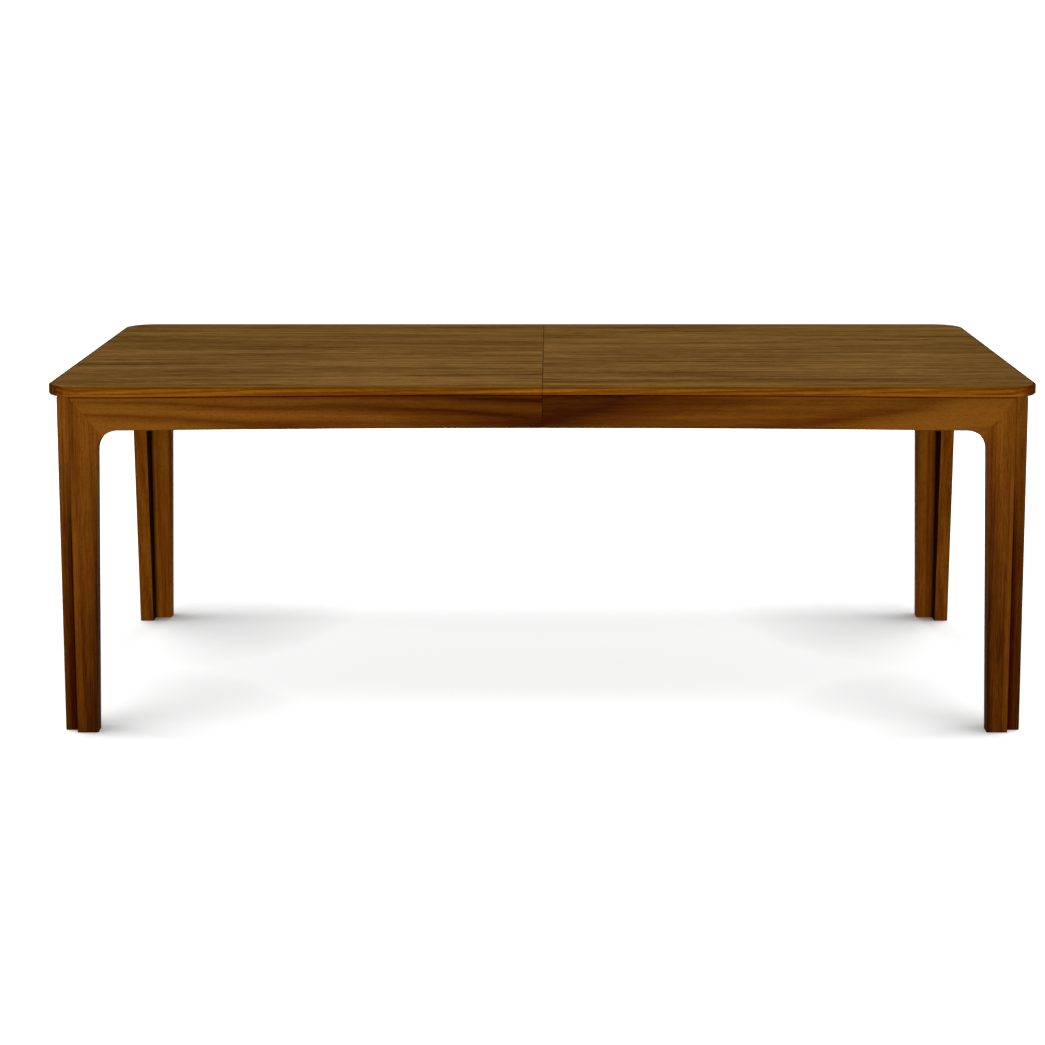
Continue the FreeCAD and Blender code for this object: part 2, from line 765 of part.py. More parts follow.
def inwards(distance):
    return ex(f"{distance} - {ROW_OFFSET}")


def dovetail(side, face, depth, play):
    """The section of a tongue, or with play of its groove, that widens from a face to its depth."""
    neck = ex(f"tongue_neck / 2 + {play}")
    tip = ex(f"tongue_tip / 2 + {play}")
    near_y, far_y = side(face), side(ex(f"{face} + {depth}"))
    return [
        (near_y, ex(f"{TONGUE_MIDDLE} - {neck}")),
        (far_y, ex(f"{TONGUE_MIDDLE} - {tip}")),
        (far_y, ex(f"{TONGUE_MIDDLE} + {tip}")),
        (near_y, ex(f"{TONGUE_MIDDLE} + {neck}")),
    ]


def make_rail(name, side, low_x, high_x, gear_low, gear_high):
    """A side rail with a dovetail groove along it and a stopped groove for its rack and the pinion."""
    body = new_body(name)
    back = ex(f"{RAIL_FACE} + rail_thickness")
    length = ex(f"{high_x} - {low_x}")
    section = box_corners(side(RAIL_FACE), RAIL_BOTTOM, side(back), RAIL_TOP)
    pad(body, "YZ_Plane", low_x, section, length)
    depth = ex("tongue_depth - rail_gap + tongue_clearance")
    groove = dovetail(side, RAIL_FACE, depth, "sizes.tongue_clearance")
    pocket(body, "YZ_Plane", low_x, groove, length, reverse=True)
    room = box_corners(gear_low, side(RAIL_FACE), gear_high, side(RACK_BACK))
    bottom = ex(f"{GEAR_MIDDLE} - rack_height / 2")
    pocket(body, "XY_Plane", bottom, room, "sizes.rack_height", reverse=True)
    return body


def make_carrier():
    """The front row's middle member: a dovetail tongue on each face and a mortise for the pinion."""
    body = new_body("carrier_unbored")
    half = ex("carrier_thickness / 2")
    start, length = minus("sizes.carrier_half"), ex("2 * carrier_half")
    section = box_corners(outwards(half), CARRIER_BOTTOM, inwards(half), RAIL_TOP)
    pad(body, "YZ_Plane", start, section, length)
    for side in (outwards, inwards):
        pad(body, "YZ_Plane", start, dovetail(side, half, "sizes.tongue_depth", "0"), length)
    low, high = ex(f"{GEAR_MIDDLE} - rack_height / 2"), ex(f"{GEAR_MIDDLE} + rack_height / 2")
    mortise = box_corners(minus(GEAR_ROOM), low, GEAR_ROOM, high)
    pocket(body, "XZ_Plane", inwards_plane(half), mortise, "sizes.carrier_thickness", reverse=True)
    bottom = ("0", minus(ROW_OFFSET), CARRIER_BOTTOM)
    hole = sided_rod("axle_hole", bottom, ex("axle_radius + pin_fit"), AXLE_LENGTH, ROUND)
    return combined("Cut", "slide_carrier_front", body, hole)


def inwards_plane(distance):
    """The offset of an XZ sketch that lies a distance in from the front row's middle."""
    return ex(f"{ROW_OFFSET} - {distance}")


AXLE_LENGTH = ex(f"{GEAR_MIDDLE} + rack_height / 2 + axle_head - {CARRIER_BOTTOM}")
GEAR_SPARE = ex(f"{TOOTH_PITCH} * rack_spare_teeth / 2")
GEAR_NEAR = ex(f"{GEAR_ROOM} + {TOOTH_PITCH} / 2")
outer_rail = make_rail(
    "slide_rail_front_left",
    outwards,
    minus("sizes.rail_tail"),
    "sizes.rail_reach",
    minus(GEAR_NEAR),
    ex(f"{TRAVEL} + {GEAR_NEAR}"),
)
inner_rail = make_rail(
    "slide_rail_front_right",
    inwards,
    minus("sizes.rail_reach"),
    "sizes.rail_tail",
    ex(f"0 - {TRAVEL} - {GEAR_NEAR}"),
    GEAR_NEAR,
)


def make_rack(name, side):
    """The outer rack: a bar with one straight-sided gap, repeated along the carrier's travel."""
    body = new_body(name)
    gaps = ex(f"floor( {TRAVEL} / {TOOTH_PITCH} ) + 1 + rack_spare_teeth")
    first = minus(GEAR_SPARE)
    tip = ex(f"{PITCH_RADIUS} - tooth_module")
    root = ex(f"{PITCH_RADIUS} + {DEDENDUM}")
    low_x = ex(f"{first} - {TOOTH_PITCH} / 2")
    high_x = ex(f"{low_x} + {TOOTH_PITCH} * {gaps}")
    bottom = ex(f"{GEAR_MIDDLE} - rack_height / 2")
    pad(body, "XY_Plane", bottom, box_corners(low_x, side(tip), high_x, side(RACK_BACK)), "sizes.rack_height")
    wide = ex(f"{PITCH_GAP} / 2 + ( tooth_module + pin_fit ) * {SLOPE}")
    narrow = ex(f"{PITCH_GAP} / 2 - {DEDENDUM} * {SLOPE}")
    open_tip = side(ex(f"{tip} - pin_fit"))
    gap = [
        (ex(f"{first} - {wide}"), open_tip),
        (ex(f"{first} - {narrow}"), side(root)),
        (ex(f"{first} + {narrow}"), side(root)),
        (ex(f"{first} + {wide}"), open_tip),
    ]
    cut = pocket(body, "XY_Plane", bottom, gap, "sizes.rack_height", reverse=True)
    row = body.newObject("PartDesign::LinearPattern", f"{name}_row")
    row.Originals = [cut]
    row.Direction = (cut.Profile[0], ["H_Axis"])
    row.setExpression("Occurrences", gaps)
    row.setExpression("Length", ex(f"{TOOTH_PITCH} * ( {gaps} - 1 )"))
    body.Tip = row
    doc.recompute()
    return body


def make_pinion(name):
    """A spur gear with involute flanks. Its first tooth points along +Y, so both racks mesh at rest."""
    teeth = round(mm("sizes.pinion_teeth"))
    pitch_radius, tip_radius = mm(PITCH_RADIUS), mm(TIP_RADIUS)
    pressure = math.radians(mm("sizes.pressure_angle"))
    base_radius = pitch_radius * math.cos(pressure)
    root_radius = pitch_radius - mm(DEDENDUM)
    thickness = mm(TOOTH_PITCH) / 2 - mm("sizes.backlash")

    def involute(radius):
        angle = math.acos(base_radius / radius)
        return math.tan(angle) - angle

    def half_angle(radius):
        return thickness / pitch_radius / 2 + involute(pitch_radius) - involute(max(radius, base_radius))

    def at(radius, angle):
        return Vector(radius * math.cos(angle), radius * math.sin(angle), 0)

    middle_radius = (base_radius + tip_radius) / 2
    outline_points = []
    for tooth in range(teeth):
        centre = math.pi / 2 + tooth * 2 * math.pi / teeth
        radii = (root_radius, base_radius, middle_radius, tip_radius)
        outline_points += [at(r, centre - half_angle(r)) for r in radii]
        outline_points += [at(r, centre + half_angle(r)) for r in reversed(radii)]
    height = mm("sizes.pinion_height")
    closed = Part.makePolygon(outline_points + outline_points[:1])
    disc = Part.Face(closed).extrude(Vector(0, 0, height))
    hole = Part.makeCylinder(mm(ex("axle_radius + pin_fit")), height)
    pinion = doc.addObject("Part::Feature", name)
    pinion.Shape = disc.cut(hole)
    pinion.setExpression("Placement.Base.y", minus(ROW_OFFSET))
    pinion.setExpression("Placement.Base.z", ex(f"{GEAR_MIDDLE} - pinion_height / 2"))
    return pinion


outer_rack = make_rack("rack_front_left", outwards)
inner_rack_source = make_rack("rack_inner", inwards)
inner_rack = mirrored("rack_front_right", inner_rack_source, ACROSS_X)
axle_foot = ("0", minus(ROW_OFFSET), CARRIER_BOTTOM)
axle = sided_rod("pinion_axle_front", axle_foot, "sizes.axle_radius", AXLE_LENGTH, ROUND)
front_row = {
    "slide_rail_front_left": outer_rail,
    "slide_rail_front_right": inner_rail,
    "slide_carrier_front": make_carrier(),
    "rack_front_left": outer_rack,
    "rack_front_right": inner_rack,
    "pinion_front": make_pinion("pinion_front"),
    "pinion_axle_front": axle,
}
for name, source in front_row.items():
    keep(name, source)
    rear_name = name.replace("front", "rear")
    keep(rear_name, mirrored(rear_name, source, ACROSS_Y))

# Folding leaf: two halves stacked underside to underside on the bearers, hinged along the rear edge


def make_leaf_half():
    """The upper half, face up. Its front edge is the table's side edge when the leaf is unfolded."""
    body = new_body("leaf_half_upper")
    half_length = ex(f"{TRAVEL} - {SEAM}")
    bottom = ex(f"{FOLD_LEVEL} + hinge_plate")
    plan = box_corners(minus(half_length), minus(LEAF_HALF_WIDTH), half_length, LEAF_HALF_WIDTH)
    pad(body, "XY_Plane", bottom, plan, "sizes.top_thickness")
    doc.recompute()
    rear, front, low = mm(LEAF_HALF_WIDTH), mm(minus(LEAF_HALF_WIDTH)), mm(bottom)
    chamfer(body, "sizes.fold_chamfer", corner_edge(None, rear, low), "fold")
    relief = box_corners(
        ex(f"0 - {half_length} - overrun"),
        ex(f"0 - {LEAF_HALF_WIDTH} - overrun"),
        ex(f"{half_length} + overrun"),
        ex(f"{RELIEF_DEPTH} - {LEAF_HALF_WIDTH}"),
    )
    pocket(body, "XY_Plane", bottom, relief, "sizes.arch_rise", reverse=True)
    top, rim = low + mm("sizes.top_thickness"), low + mm("sizes.arch_rise")
    round_over(body, "sizes.top_upper_round", corner_edge(None, front, top), "upper")
    chamfer(body, "sizes.top_lower_chamfer", corner_edge(None, front, rim), "lower")
    return body


def make_hinge_plates(name, own, level):
    """One plate of each hinge, with a knuckle in each of its own thirds round the fold line."""
    plates = []
    third = ex("hinge_length / knuckle_count")
    short = ex(f"{third} - hinge_play")
    edge = ex(f"{LEAF_HALF_WIDTH} - hinge_knuckle - hinge_play")
    for number, middle in enumerate(HINGE_PLACES):
        start = ex(f"{middle} - hinge_length / 2")
        low = (start, ex(f"{LEAF_HALF_WIDTH} - hinge_width"), level)
        width = ex(f"{edge} - {LEAF_HALF_WIDTH} + hinge_width")
        parts = [box(f"{name}_flat_{number}", low, ("sizes.hinge_length", width, "sizes.hinge_plate"))]
        for place in own:
            low_x = ex(f"{start} + {third} * {place} + hinge_play / 2")
            tang = (short, ex("hinge_knuckle + hinge_play"), "sizes.hinge_plate")
            parts.append(box(f"{name}_tang_{number}_{place}", (low_x, edge, level), tang))
            foot = (low_x, LEAF_HALF_WIDTH, FOLD_LEVEL)
            knuckle = f"{name}_knuckle_{number}_{place}"
            parts.append(sided_rod(knuckle, foot, "sizes.hinge_knuckle", short, ROUND, "X"))
        plate = fused(f"{name}_solid_{number}", parts)
        foot = (start, LEAF_HALF_WIDTH, FOLD_LEVEL)
        hole = sided_rod(f"{name}_bore_{number}", foot, PIN_HOLE, "sizes.hinge_length", ROUND, "X")
        plates.append(combined("Cut", f"{name}_bored_{number}", plate, hole))
    return group(name, plates)


HINGE_PLACES = (minus("sizes.hinge_spacing"), "sizes.hinge_spacing")
PIN_HOLE = ex("hinge_pin + pin_fit")
leaf_upper = make_leaf_half()
keep("leaf_half_upper", leaf_upper)
keep("leaf_half_lower", mirrored("leaf_half_lower", leaf_upper, ACROSS_Z, FOLD_LEVEL))
keep("hinge_plates_upper", make_hinge_plates("hinge_plates_upper", (1,), FOLD_LEVEL))
keep("hinge_plates_lower", make_hinge_plates("hinge_plates_lower", (0, 2), ex(f"{FOLD_LEVEL} - hinge_plate")))
hinge_pins = []
for number, middle in enumerate(HINGE_PLACES):
    foot = (ex(f"{middle} - hinge_length / 2"), LEAF_HALF_WIDTH, FOLD_LEVEL)
    pin = sided_rod(f"hinge_pin_{number}", foot, "sizes.hinge_pin", "sizes.hinge_length", ROUND, "X")
    hinge_pins.append(pin)
keep("hinge_pins", group("hinge_pins", hinge_pins))

# Alignment pins across the seam

seam_pins = []
for number, side in enumerate((minus, str)):
    foot = (minus("sizes.seam_pin_insert"), side(SEAM_PIN_PLACE), SEAM_PIN_LEVEL)
    length = ex("seam_pin_insert + seam_pin_reach")
    seam_pins.append(rod(f"seam_pin_{number}", foot, "sizes.seam_pin_radius", length, "X"))
keep("seam_pins", group("seam_pins", seam_pins))

# Catches that lock the two halves at the seam: a hook on the left half turns onto a stud on the right half

CATCH_Y = minus(CATCH_ROW)
CATCH_X = minus("sizes.catch_inset")
CATCH_REACH = ex("2 * catch_inset")
HOOK_BOTTOM = ex(f"{CATCH_LEVEL} - catch_hook")
PLATE_BOTTOM = ex(f"{FRAME_TOP} - catch_plate")


def plate_plan(x):
    """The plan of a catch's plate, a rectangle with its middle on the catch's row."""
    return box_corners(
        ex(f"{x} - catch_plate_width / 2"),
        ex(f"{CATCH_Y} - catch_plate_length / 2"),
        ex(f"{x} + catch_plate_width / 2"),
        ex(f"{CATCH_Y} + catch_plate_length / 2"),
    )


def make_catch_base():
    """The left half's plate with its pivot: a neck for the hook and a head that keeps it."""
    body = new_body("catch_base_front")
    pad(body, "XY_Plane", PLATE_BOTTOM, plate_plan(CATCH_X), "sizes.catch_plate")
    neck_length = ex("catch_play + catch_hook + pin_fit")
    stages = (
        (PLATE_BOTTOM, "sizes.catch_pivot", neck_length),
        (ex(f"{PLATE_BOTTOM} - {neck_length}"), ex("catch_pivot + catch_hook"), "sizes.catch_plate"),
    )
    for level, radius, length in stages:
        sketch = new_sketch(body, "catch_pivot_ring", "XY_Plane", level)
        ring(sketch, CATCH_X, CATCH_Y, radius)
        extrude(body, "Pad", sketch, length, reverse=True)
    return body


def make_catch_hook():
    """A flat lever that points inwards when free, with an open slot for the stud and a tab for the finger."""
    body = new_body("catch_hook_front")
    end = ex(f"{CATCH_Y} + {CATCH_REACH} + catch_arm")
    left, right = ex(f"{CATCH_X} - catch_arm"), ex(f"{CATCH_X} + catch_arm")
    tab_left, tab_right = ex(f"{CATCH_X} - catch_arm / 2"), ex(f"{CATCH_X} + catch_arm / 2")
    tab_end = ex(f"{end} + catch_tab")
    plan = [
        (left, CATCH_Y, None, "left"),
        (right, CATCH_Y),
        (right, end),
        (tab_right, end),
        (tab_right, tab_end, None, "left"),
        (tab_left, tab_end),
        (tab_left, end),
        (left, end),
    ]
    pad(body, "XY_Plane", HOOK_BOTTOM, plan, "sizes.catch_hook")
    slot_half = ex("catch_stud + catch_slot_play")
    slot_y = ex(f"{CATCH_Y} + {CATCH_REACH}")
    slot = box_corners(
        ex(f"{CATCH_X} - {slot_half}"),
        ex(f"{slot_y} - {slot_half}"),
        ex(f"{right} + overrun"),
        ex(f"{slot_y} + {slot_half}"),
    )
    pocket(body, "XY_Plane", HOOK_BOTTOM, slot, "sizes.catch_hook", reverse=True)
    pivot = [(CATCH_X, CATCH_Y)]
    bore(body, "XY_Plane", HOOK_BOTTOM, pivot, ex("catch_pivot + pin_fit"), "sizes.catch_hook", reverse=True)
    return body


def make_catch_strike():
    """The right half's plate with the stud that the hook turns onto."""
    body = new_body("catch_strike_front")
    pad(body, "XY_Plane", PLATE_BOTTOM, plate_plan("sizes.catch_inset"), "sizes.catch_plate")
    sketch = new_sketch(body, "catch_stud_ring", "XY_Plane", PLATE_BOTTOM)
    ring(sketch, "sizes.catch_inset", CATCH_Y, "sizes.catch_stud")
    extrude(body, "Pad", sketch, ex("catch_play + catch_hook + catch_plate"), reverse=True)
    return body


for source in (make_catch_base(), make_catch_hook(), make_catch_strike()):
    keep(source.Name, source)
    rear_name = source.Name.replace("front", "rear")
    keep(rear_name, mirrored(rear_name, source, ACROSS_Y))

doc.recompute()
faults = [item.Name for item in doc.Objects if {"Invalid", "Error"} & set(item.State)]
faults += [name for name, piece in pieces.items() if piece.Shape.isNull() or not piece.Shape.isValid()]
if faults:
    raise RuntimeError(f"faulty pieces: {faults}")
os.makedirs("parts", exist_ok=True)
for name, piece in pieces.items():
    piece.Shape.exportStep(f"parts/{name}.step")
print(f"{len(pieces)} pieces written")
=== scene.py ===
"""An oiled walnut extending dining table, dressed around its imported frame.

Lengths are in metres, +X runs along the table, +Y from the front to the rear and +Z up.
"""

import logging
import math
import zlib
from dataclasses import dataclass, field, replace
from enum import Enum

import bmesh
import bpy
from mathutils import Euler, Matrix, Vector


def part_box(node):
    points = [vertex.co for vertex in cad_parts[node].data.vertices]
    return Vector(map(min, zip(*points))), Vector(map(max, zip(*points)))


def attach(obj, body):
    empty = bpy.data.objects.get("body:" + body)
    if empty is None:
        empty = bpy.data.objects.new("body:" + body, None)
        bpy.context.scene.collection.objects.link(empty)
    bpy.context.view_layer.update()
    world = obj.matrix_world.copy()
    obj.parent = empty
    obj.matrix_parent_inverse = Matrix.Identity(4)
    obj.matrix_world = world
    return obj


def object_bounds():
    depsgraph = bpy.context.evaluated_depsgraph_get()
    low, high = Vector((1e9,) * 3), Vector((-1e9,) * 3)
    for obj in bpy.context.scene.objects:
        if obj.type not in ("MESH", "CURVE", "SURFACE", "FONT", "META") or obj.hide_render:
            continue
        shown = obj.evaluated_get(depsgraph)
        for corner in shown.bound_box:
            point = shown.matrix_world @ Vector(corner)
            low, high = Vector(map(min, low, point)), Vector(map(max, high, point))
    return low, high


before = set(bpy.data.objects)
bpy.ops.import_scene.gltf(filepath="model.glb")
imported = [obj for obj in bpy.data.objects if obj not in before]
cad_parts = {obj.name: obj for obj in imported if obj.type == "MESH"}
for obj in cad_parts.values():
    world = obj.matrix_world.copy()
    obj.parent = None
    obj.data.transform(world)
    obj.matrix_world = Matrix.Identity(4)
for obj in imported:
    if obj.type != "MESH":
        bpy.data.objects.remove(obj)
CAD_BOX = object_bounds()

LOG = logging.getLogger("table")
MM = 0.001

# A Mix node's socket numbers for each kind of data: the first value, the second and the result
FLOAT_A, FLOAT_B, FLOAT_OUT = 2, 3, 0
VECTOR_A, VECTOR_B, VECTOR_OUT = 4, 5, 1
COLOUR_A, COLOUR_B, COLOUR_OUT = 6, 7, 2

# How pale the wood is at each stage of a year's growth, from early wood to the dark late wood
YEAR = ((0.0, 0.50), (0.25, 0.72), (0.60, 0.55), (0.86, 0.22), (1.0, 0.50))


def linear(colour: str) -> tuple[float, float, float, float]:
    """Turns an sRGB hex colour into linear light.

    Args:
        colour: six hex digits after a #.

    Returns:
        Red, green, blue and an alpha of one.
    """
    parts = [int(colour[place:place + 2], 16) / 255 for place in (1, 3, 5)]
    light = [part / 12.92 if part <= 0.04045 else ((part + 0.055) / 1.055) ** 2.4 for part in parts]
    return (*light, 1.0)


def add_node(tree: bpy.types.NodeTree, kind: str, inputs: dict | None = None, **settings) -> bpy.types.Node:
    """Adds a shader node.

    Args:
        tree: the node tree of a material or of the world.
        kind: the node's type without its ShaderNode prefix.
        inputs: a value or another node's output for each input socket, by name or number.
        **settings: properties of the node itself.

    Returns:
        The new node.
    """
    node = tree.nodes.new(f"ShaderNode{kind}")
    for key, value in settings.items():
        setattr(node, key, value)
    for key, value in (inputs or {}).items():
        if isinstance(value, bpy.types.NodeSocket):
            tree.links.new(value, node.inputs[key])
        else:
            node.inputs[key].default_value = value
    return node


def new_material(name: str) -> tuple[bpy.types.Material, bpy.types.NodeTree, bpy.types.Node]:
    """Makes an empty material.

    Args:
        name: the finish's name.

    Returns:
        The material, its node tree and its surface shader, already joined to the output.
    """
    material = bpy.data.materials.new(name)
    material.use_nodes = True
    tree = material.node_tree
    tree.nodes.clear()
    shader = add_node(tree, "BsdfPrincipled")
    add_node(tree, "OutputMaterial", {"Surface": shader.outputs["BSDF"]})
    return material, tree, shader


def set_ramp(node: bpy.types.Node, stops: list[tuple[float, tuple]]) -> None:
    """Gives a colour ramp its stops.

    Args:
        node: the ramp.
        stops: the place and the linear colour of each stop, in order.
    """
    elements = node.color_ramp.elements
    while len(elements) < len(stops):
        elements.new(1.0)
    for element, (place, colour) in zip(elements, stops):
        element.position = place
        element.color = colour


def seeded(name: str, count: int) -> list[float]:
    """Numbers between nought and one that stay the same for a name.

    Args:
        name: the piece that they are for.
        count: how many are wanted.

    Returns:
        The numbers.
    """
    return [zlib.crc32(f"{name}:{place}".encode()) / 2**32 for place in range(count)]


class Grain(Enum):
    """The way a board's fibres run, and the turn that brings it onto a pattern's X."""

    ALONG = "x"
    ACROSS = "y"
    UPRIGHT = "z"

    @property
    def turn(self) -> tuple[float, float, float]:
        """The turn from object coordinates to the pattern's."""
        return {"x": (0.0, 0.0, 0.0), "y": (0.0, 0.0, -math.pi / 2), "z": (0.0, math.pi / 2, 0.0)}[self.value]

    @property
    def axis(self) -> tuple[float, ...]:
        """The fibres' direction."""
        return tuple(float(letter == self.value) for letter in "xyz")


@dataclass(frozen=True)
class Cut:
    """How a board was cut from the log, which sets the figure on its faces.

    A ring is a year's growth, and the pith and the tilt say where the log's middle lies beside the board. The
    sway is how far the rings wander, and its pace how often they do so in a metre along each axis. The drift
    says how much paler the board gets for each metre from its middle or foot, and it changes nothing at the
    level distance.
    """

    ring: float = 9 * MM
    pith: tuple[float, float, float] = (0.0, 0.02, 0.085)
    tilt: tuple[float, float, float] = (0.0, 0.022, 0.012)
    sway: float = 16 * MM
    sway_pace: tuple[float, float, float] = (1.6, 7.0, 7.0)
    ring_weight: float = 0.30
    streak_weight: float = 0.42
    fibre_weight: float = 0.34
    cloud_weight: float = 0.40
    drift: float = 0.0
    level: float = 0.4


@dataclass(frozen=True)
class Band:
    """A band of another tone beside a joint or an arris, by the distance from the middle along one axis, for
    dark joint lines, painted shade and painted highlights.

    It starts at full strength and fades over its width, outward or, where the width is negative, inward,
    and it reaches back by its lead. It shows only below the first of the two heights, and in full below
    the second.
    """

    start: float = 0.0
    width: float = 1.2 * MM
    strength: float = 0.85
    colour: str = "#160502"
    heights: tuple[float, float] = (2.0, 1.0)
    axis: int = 0
    lead: float = 2.0

    def over(self, tree: bpy.types.NodeTree, colour: bpy.types.NodeSocket) -> bpy.types.NodeSocket:
        """Lays the band over a colour.

        Args:
            tree: the material's nodes.
            colour: the wood's colour.

        Returns:
            The colour with the band on it.
        """
        parts = add_node(tree, "SeparateXYZ", {0: add_node(tree, "TexCoord").outputs["Object"]}).outputs
        away = add_node(tree, "Math", {0: parts[self.axis]}, operation="ABSOLUTE").outputs[0]
        fade = {"Value": away, "From Min": self.start, "From Max": self.start + self.width,
                "To Min": self.strength, "To Max": 0.0}
        here = add_node(tree, "MapRange", fade).outputs[0]
        highest, full = self.heights
        rise = {"Value": parts[2], "From Min": highest, "From Max": full}
        low = add_node(tree, "MapRange", rise).outputs[0]
        past = {0: away, 1: self.start - self.lead}
        near = add_node(tree, "Math", past, operation="GREATER_THAN").outputs[0]
        both = add_node(tree, "Math", {0: here, 1: low}, operation="MULTIPLY").outputs[0]
        shown = add_node(tree, "Math", {0: both, 1: near}, operation="MULTIPLY").outputs[0]
        layers = {0: shown, COLOUR_A: colour, COLOUR_B: linear(self.colour)}
        return add_node(tree, "Mix", layers, data_type="RGBA").outputs[COLOUR_OUT]


@dataclass(frozen=True)
class Wood:
    """Oiled or sealed wood: matt, with coloured growth rings, long streaks, fibres and open pores.

    Streaks, fibres and pores have a width and a stretch, which is their length in widths. The tones are where
    the deep, the body and the pale colour lie on the scale from dark to light. The log's length and depth are
    how far apart two boards' patterns can lie.
    """

    name: str
    deep: str
    body: str
    pale: str
    grain: Grain = Grain.ALONG
    cut: Cut = field(default_factory=Cut)
    roughness: float = 0.52
    specular: float = 0.12
    gloss_spread: tuple[float, float] = (-0.08, 0.10)
    tones: tuple[float, float, float] = (0.30, 0.50, 0.72)
    streak: float = 5 * MM
    streak_stretch: float = 90.0
    fibre: float = 1.3 * MM
    fibre_stretch: float = 30.0
    cloud: float = 60 * MM
    cloud_length: float = 500 * MM
    pore: float = 0.5 * MM
    pore_stretch: float = 18.0
    pore_edge: tuple[float, float] = (0.60, 0.72)
    pore_depth: float = 0.08 * MM
    pore_shade: float = 0.5
    pore_roughness: float = 0.2
    fibre_relief: float = 0.5
    relief: float = 0.6
    log_length: float = 8.0
    log_depth: float = 10 * MM
    bands: tuple[Band, ...] = ()
    middle: tuple[float, float, float] = (0.0, 0.0, 0.0)

    def stretched(self, tree: bpy.types.NodeTree, place: bpy.types.NodeSocket, width: float,
                  length: float, detail: float) -> bpy.types.NodeSocket:
        """Noise that is drawn out along the fibres.

        Args:
            tree: the material's nodes.
            place: coordinates whose X runs along the fibres.
            width: a streak's width.
            length: a streak's length.
            detail: how many finer layers it has.

        Returns:
            The noise's value.
        """
        scale = (1 / length, 1 / width, 1 / width)
        spread = add_node(tree, "Mapping", {"Vector": place, "Scale": scale}).outputs[0]
        settings = {"Vector": spread, "Scale": 1.0, "Detail": detail, "Roughness": 0.55}
        return add_node(tree, "TexNoise", settings).outputs["Fac"]

    def rings(self, tree: bpy.types.NodeTree, place: bpy.types.NodeSocket) -> bpy.types.NodeSocket:
        """Growth rings round a pith that lies behind the face and leans a little.

        Args:
            tree: the material's nodes.
            place: coordinates whose X runs along the fibres.

        Returns:
            How pale the wood is, which is least in each year's late wood.
        """
        cut = self.cut
        slow = add_node(tree, "Mapping", {"Vector": place, "Scale": cut.sway_pace}).outputs[0]
        sway = add_node(tree, "TexNoise", {"Vector": slow, "Scale": 1.0, "Detail": 2.0}).outputs["Color"]
        swayed = add_node(tree, "VectorMath", {0: sway, 1: (0, cut.sway, cut.sway), 2: place},
                          operation="MULTIPLY_ADD").outputs[0]
        leaning = add_node(tree, "Mapping", {"Vector": swayed, "Location": cut.pith, "Rotation": cut.tilt})
        across = add_node(tree, "VectorMath", {0: leaning.outputs[0], 1: (0, 1, 1)}, operation="MULTIPLY")
        radius = add_node(tree, "VectorMath", {0: across.outputs[0]}, operation="LENGTH").outputs["Value"]
        count = add_node(tree, "Math", {0: radius, 1: 1 / cut.ring}, operation="MULTIPLY").outputs[0]
        year = add_node(tree, "Math", {0: count}, operation="FRACT").outputs[0]
        ramp = add_node(tree, "ValToRGB", {"Fac": year})
        set_ramp(ramp, [(stage, (shade, shade, shade, 1.0)) for stage, shade in YEAR])
        return ramp.outputs["Color"]

    def figure(self, tree: bpy.types.NodeTree, place: bpy.types.NodeSocket) -> tuple:
        """The wood's colour and its open pores.

        Args:
            tree: the material's nodes.
            place: coordinates whose X runs along the fibres.

        Returns:
            The colour, the fibres' value and the pores' value.
        """
        cut = self.cut
        streak = self.stretched(tree, place, self.streak, self.streak_stretch * self.streak, 4.0)
        fibre = self.stretched(tree, place, self.fibre, self.fibre_stretch * self.fibre, 2.0)
        cloud = self.stretched(tree, place, self.cloud, self.cloud_length, 2.0)
        pore = self.stretched(tree, place, self.pore, self.pore_stretch * self.pore, 0.0)
        parts = ((self.rings(tree, place), cut.ring_weight), (streak, cut.streak_weight),
                 (fibre, cut.fibre_weight), (cloud, cut.cloud_weight))
        coordinates = add_node(tree, "TexCoord").outputs["Object"]
        along = add_node(tree, "VectorMath", {0: coordinates, 1: self.grain.axis},
                         operation="DOT_PRODUCT").outputs["Value"]
        reach = add_node(tree, "Math", {0: along}, operation="ABSOLUTE").outputs[0]
        tone = 0.5 - sum(weight for _, weight in parts) / 2 - cut.drift * cut.level
        for value, weight in (*parts, (reach, cut.drift)):
            tone = add_node(tree, "Math", {0: value, 1: weight, 2: tone}, operation="MULTIPLY_ADD").outputs[0]
        ramp = add_node(tree, "ValToRGB", {"Fac": tone})
        colours = [linear(colour) for colour in (self.deep, self.body, self.pale)]
        set_ramp(ramp, list(zip(self.tones, colours)))
        closed, opened = self.pore_edge
        edge = {"Value": pore, "From Min": closed, "From Max": opened}
        open_pore = add_node(tree, "MapRange", edge).outputs[0]
        filled = add_node(tree, "Math", {0: open_pore, 1: self.pore_shade}, operation="MULTIPLY").outputs[0]
        layers = {0: filled, COLOUR_A: ramp.outputs["Color"], COLOUR_B: linear(self.deep)}
        dark = add_node(tree, "Mix", layers, data_type="RGBA").outputs[COLOUR_OUT]
        return dark, fibre, open_pore

    def place(self, tree: bpy.types.NodeTree) -> bpy.types.NodeSocket:
        """Coordinates from the board's middle, turned onto the grain and moved to its own part of the log."""
        coordinates = add_node(tree, "TexCoord").outputs["Object"]
        along, deep, high = seeded(self.name, 3)
        start = Vector((self.log_length * along, self.log_depth * deep, self.log_depth * high))
        start -= Euler(self.grain.turn).to_matrix() @ Vector(self.middle)
        return add_node(tree, "Mapping", {"Vector": coordinates, "Rotation": self.grain.turn,
                                          "Location": start}).outputs[0]

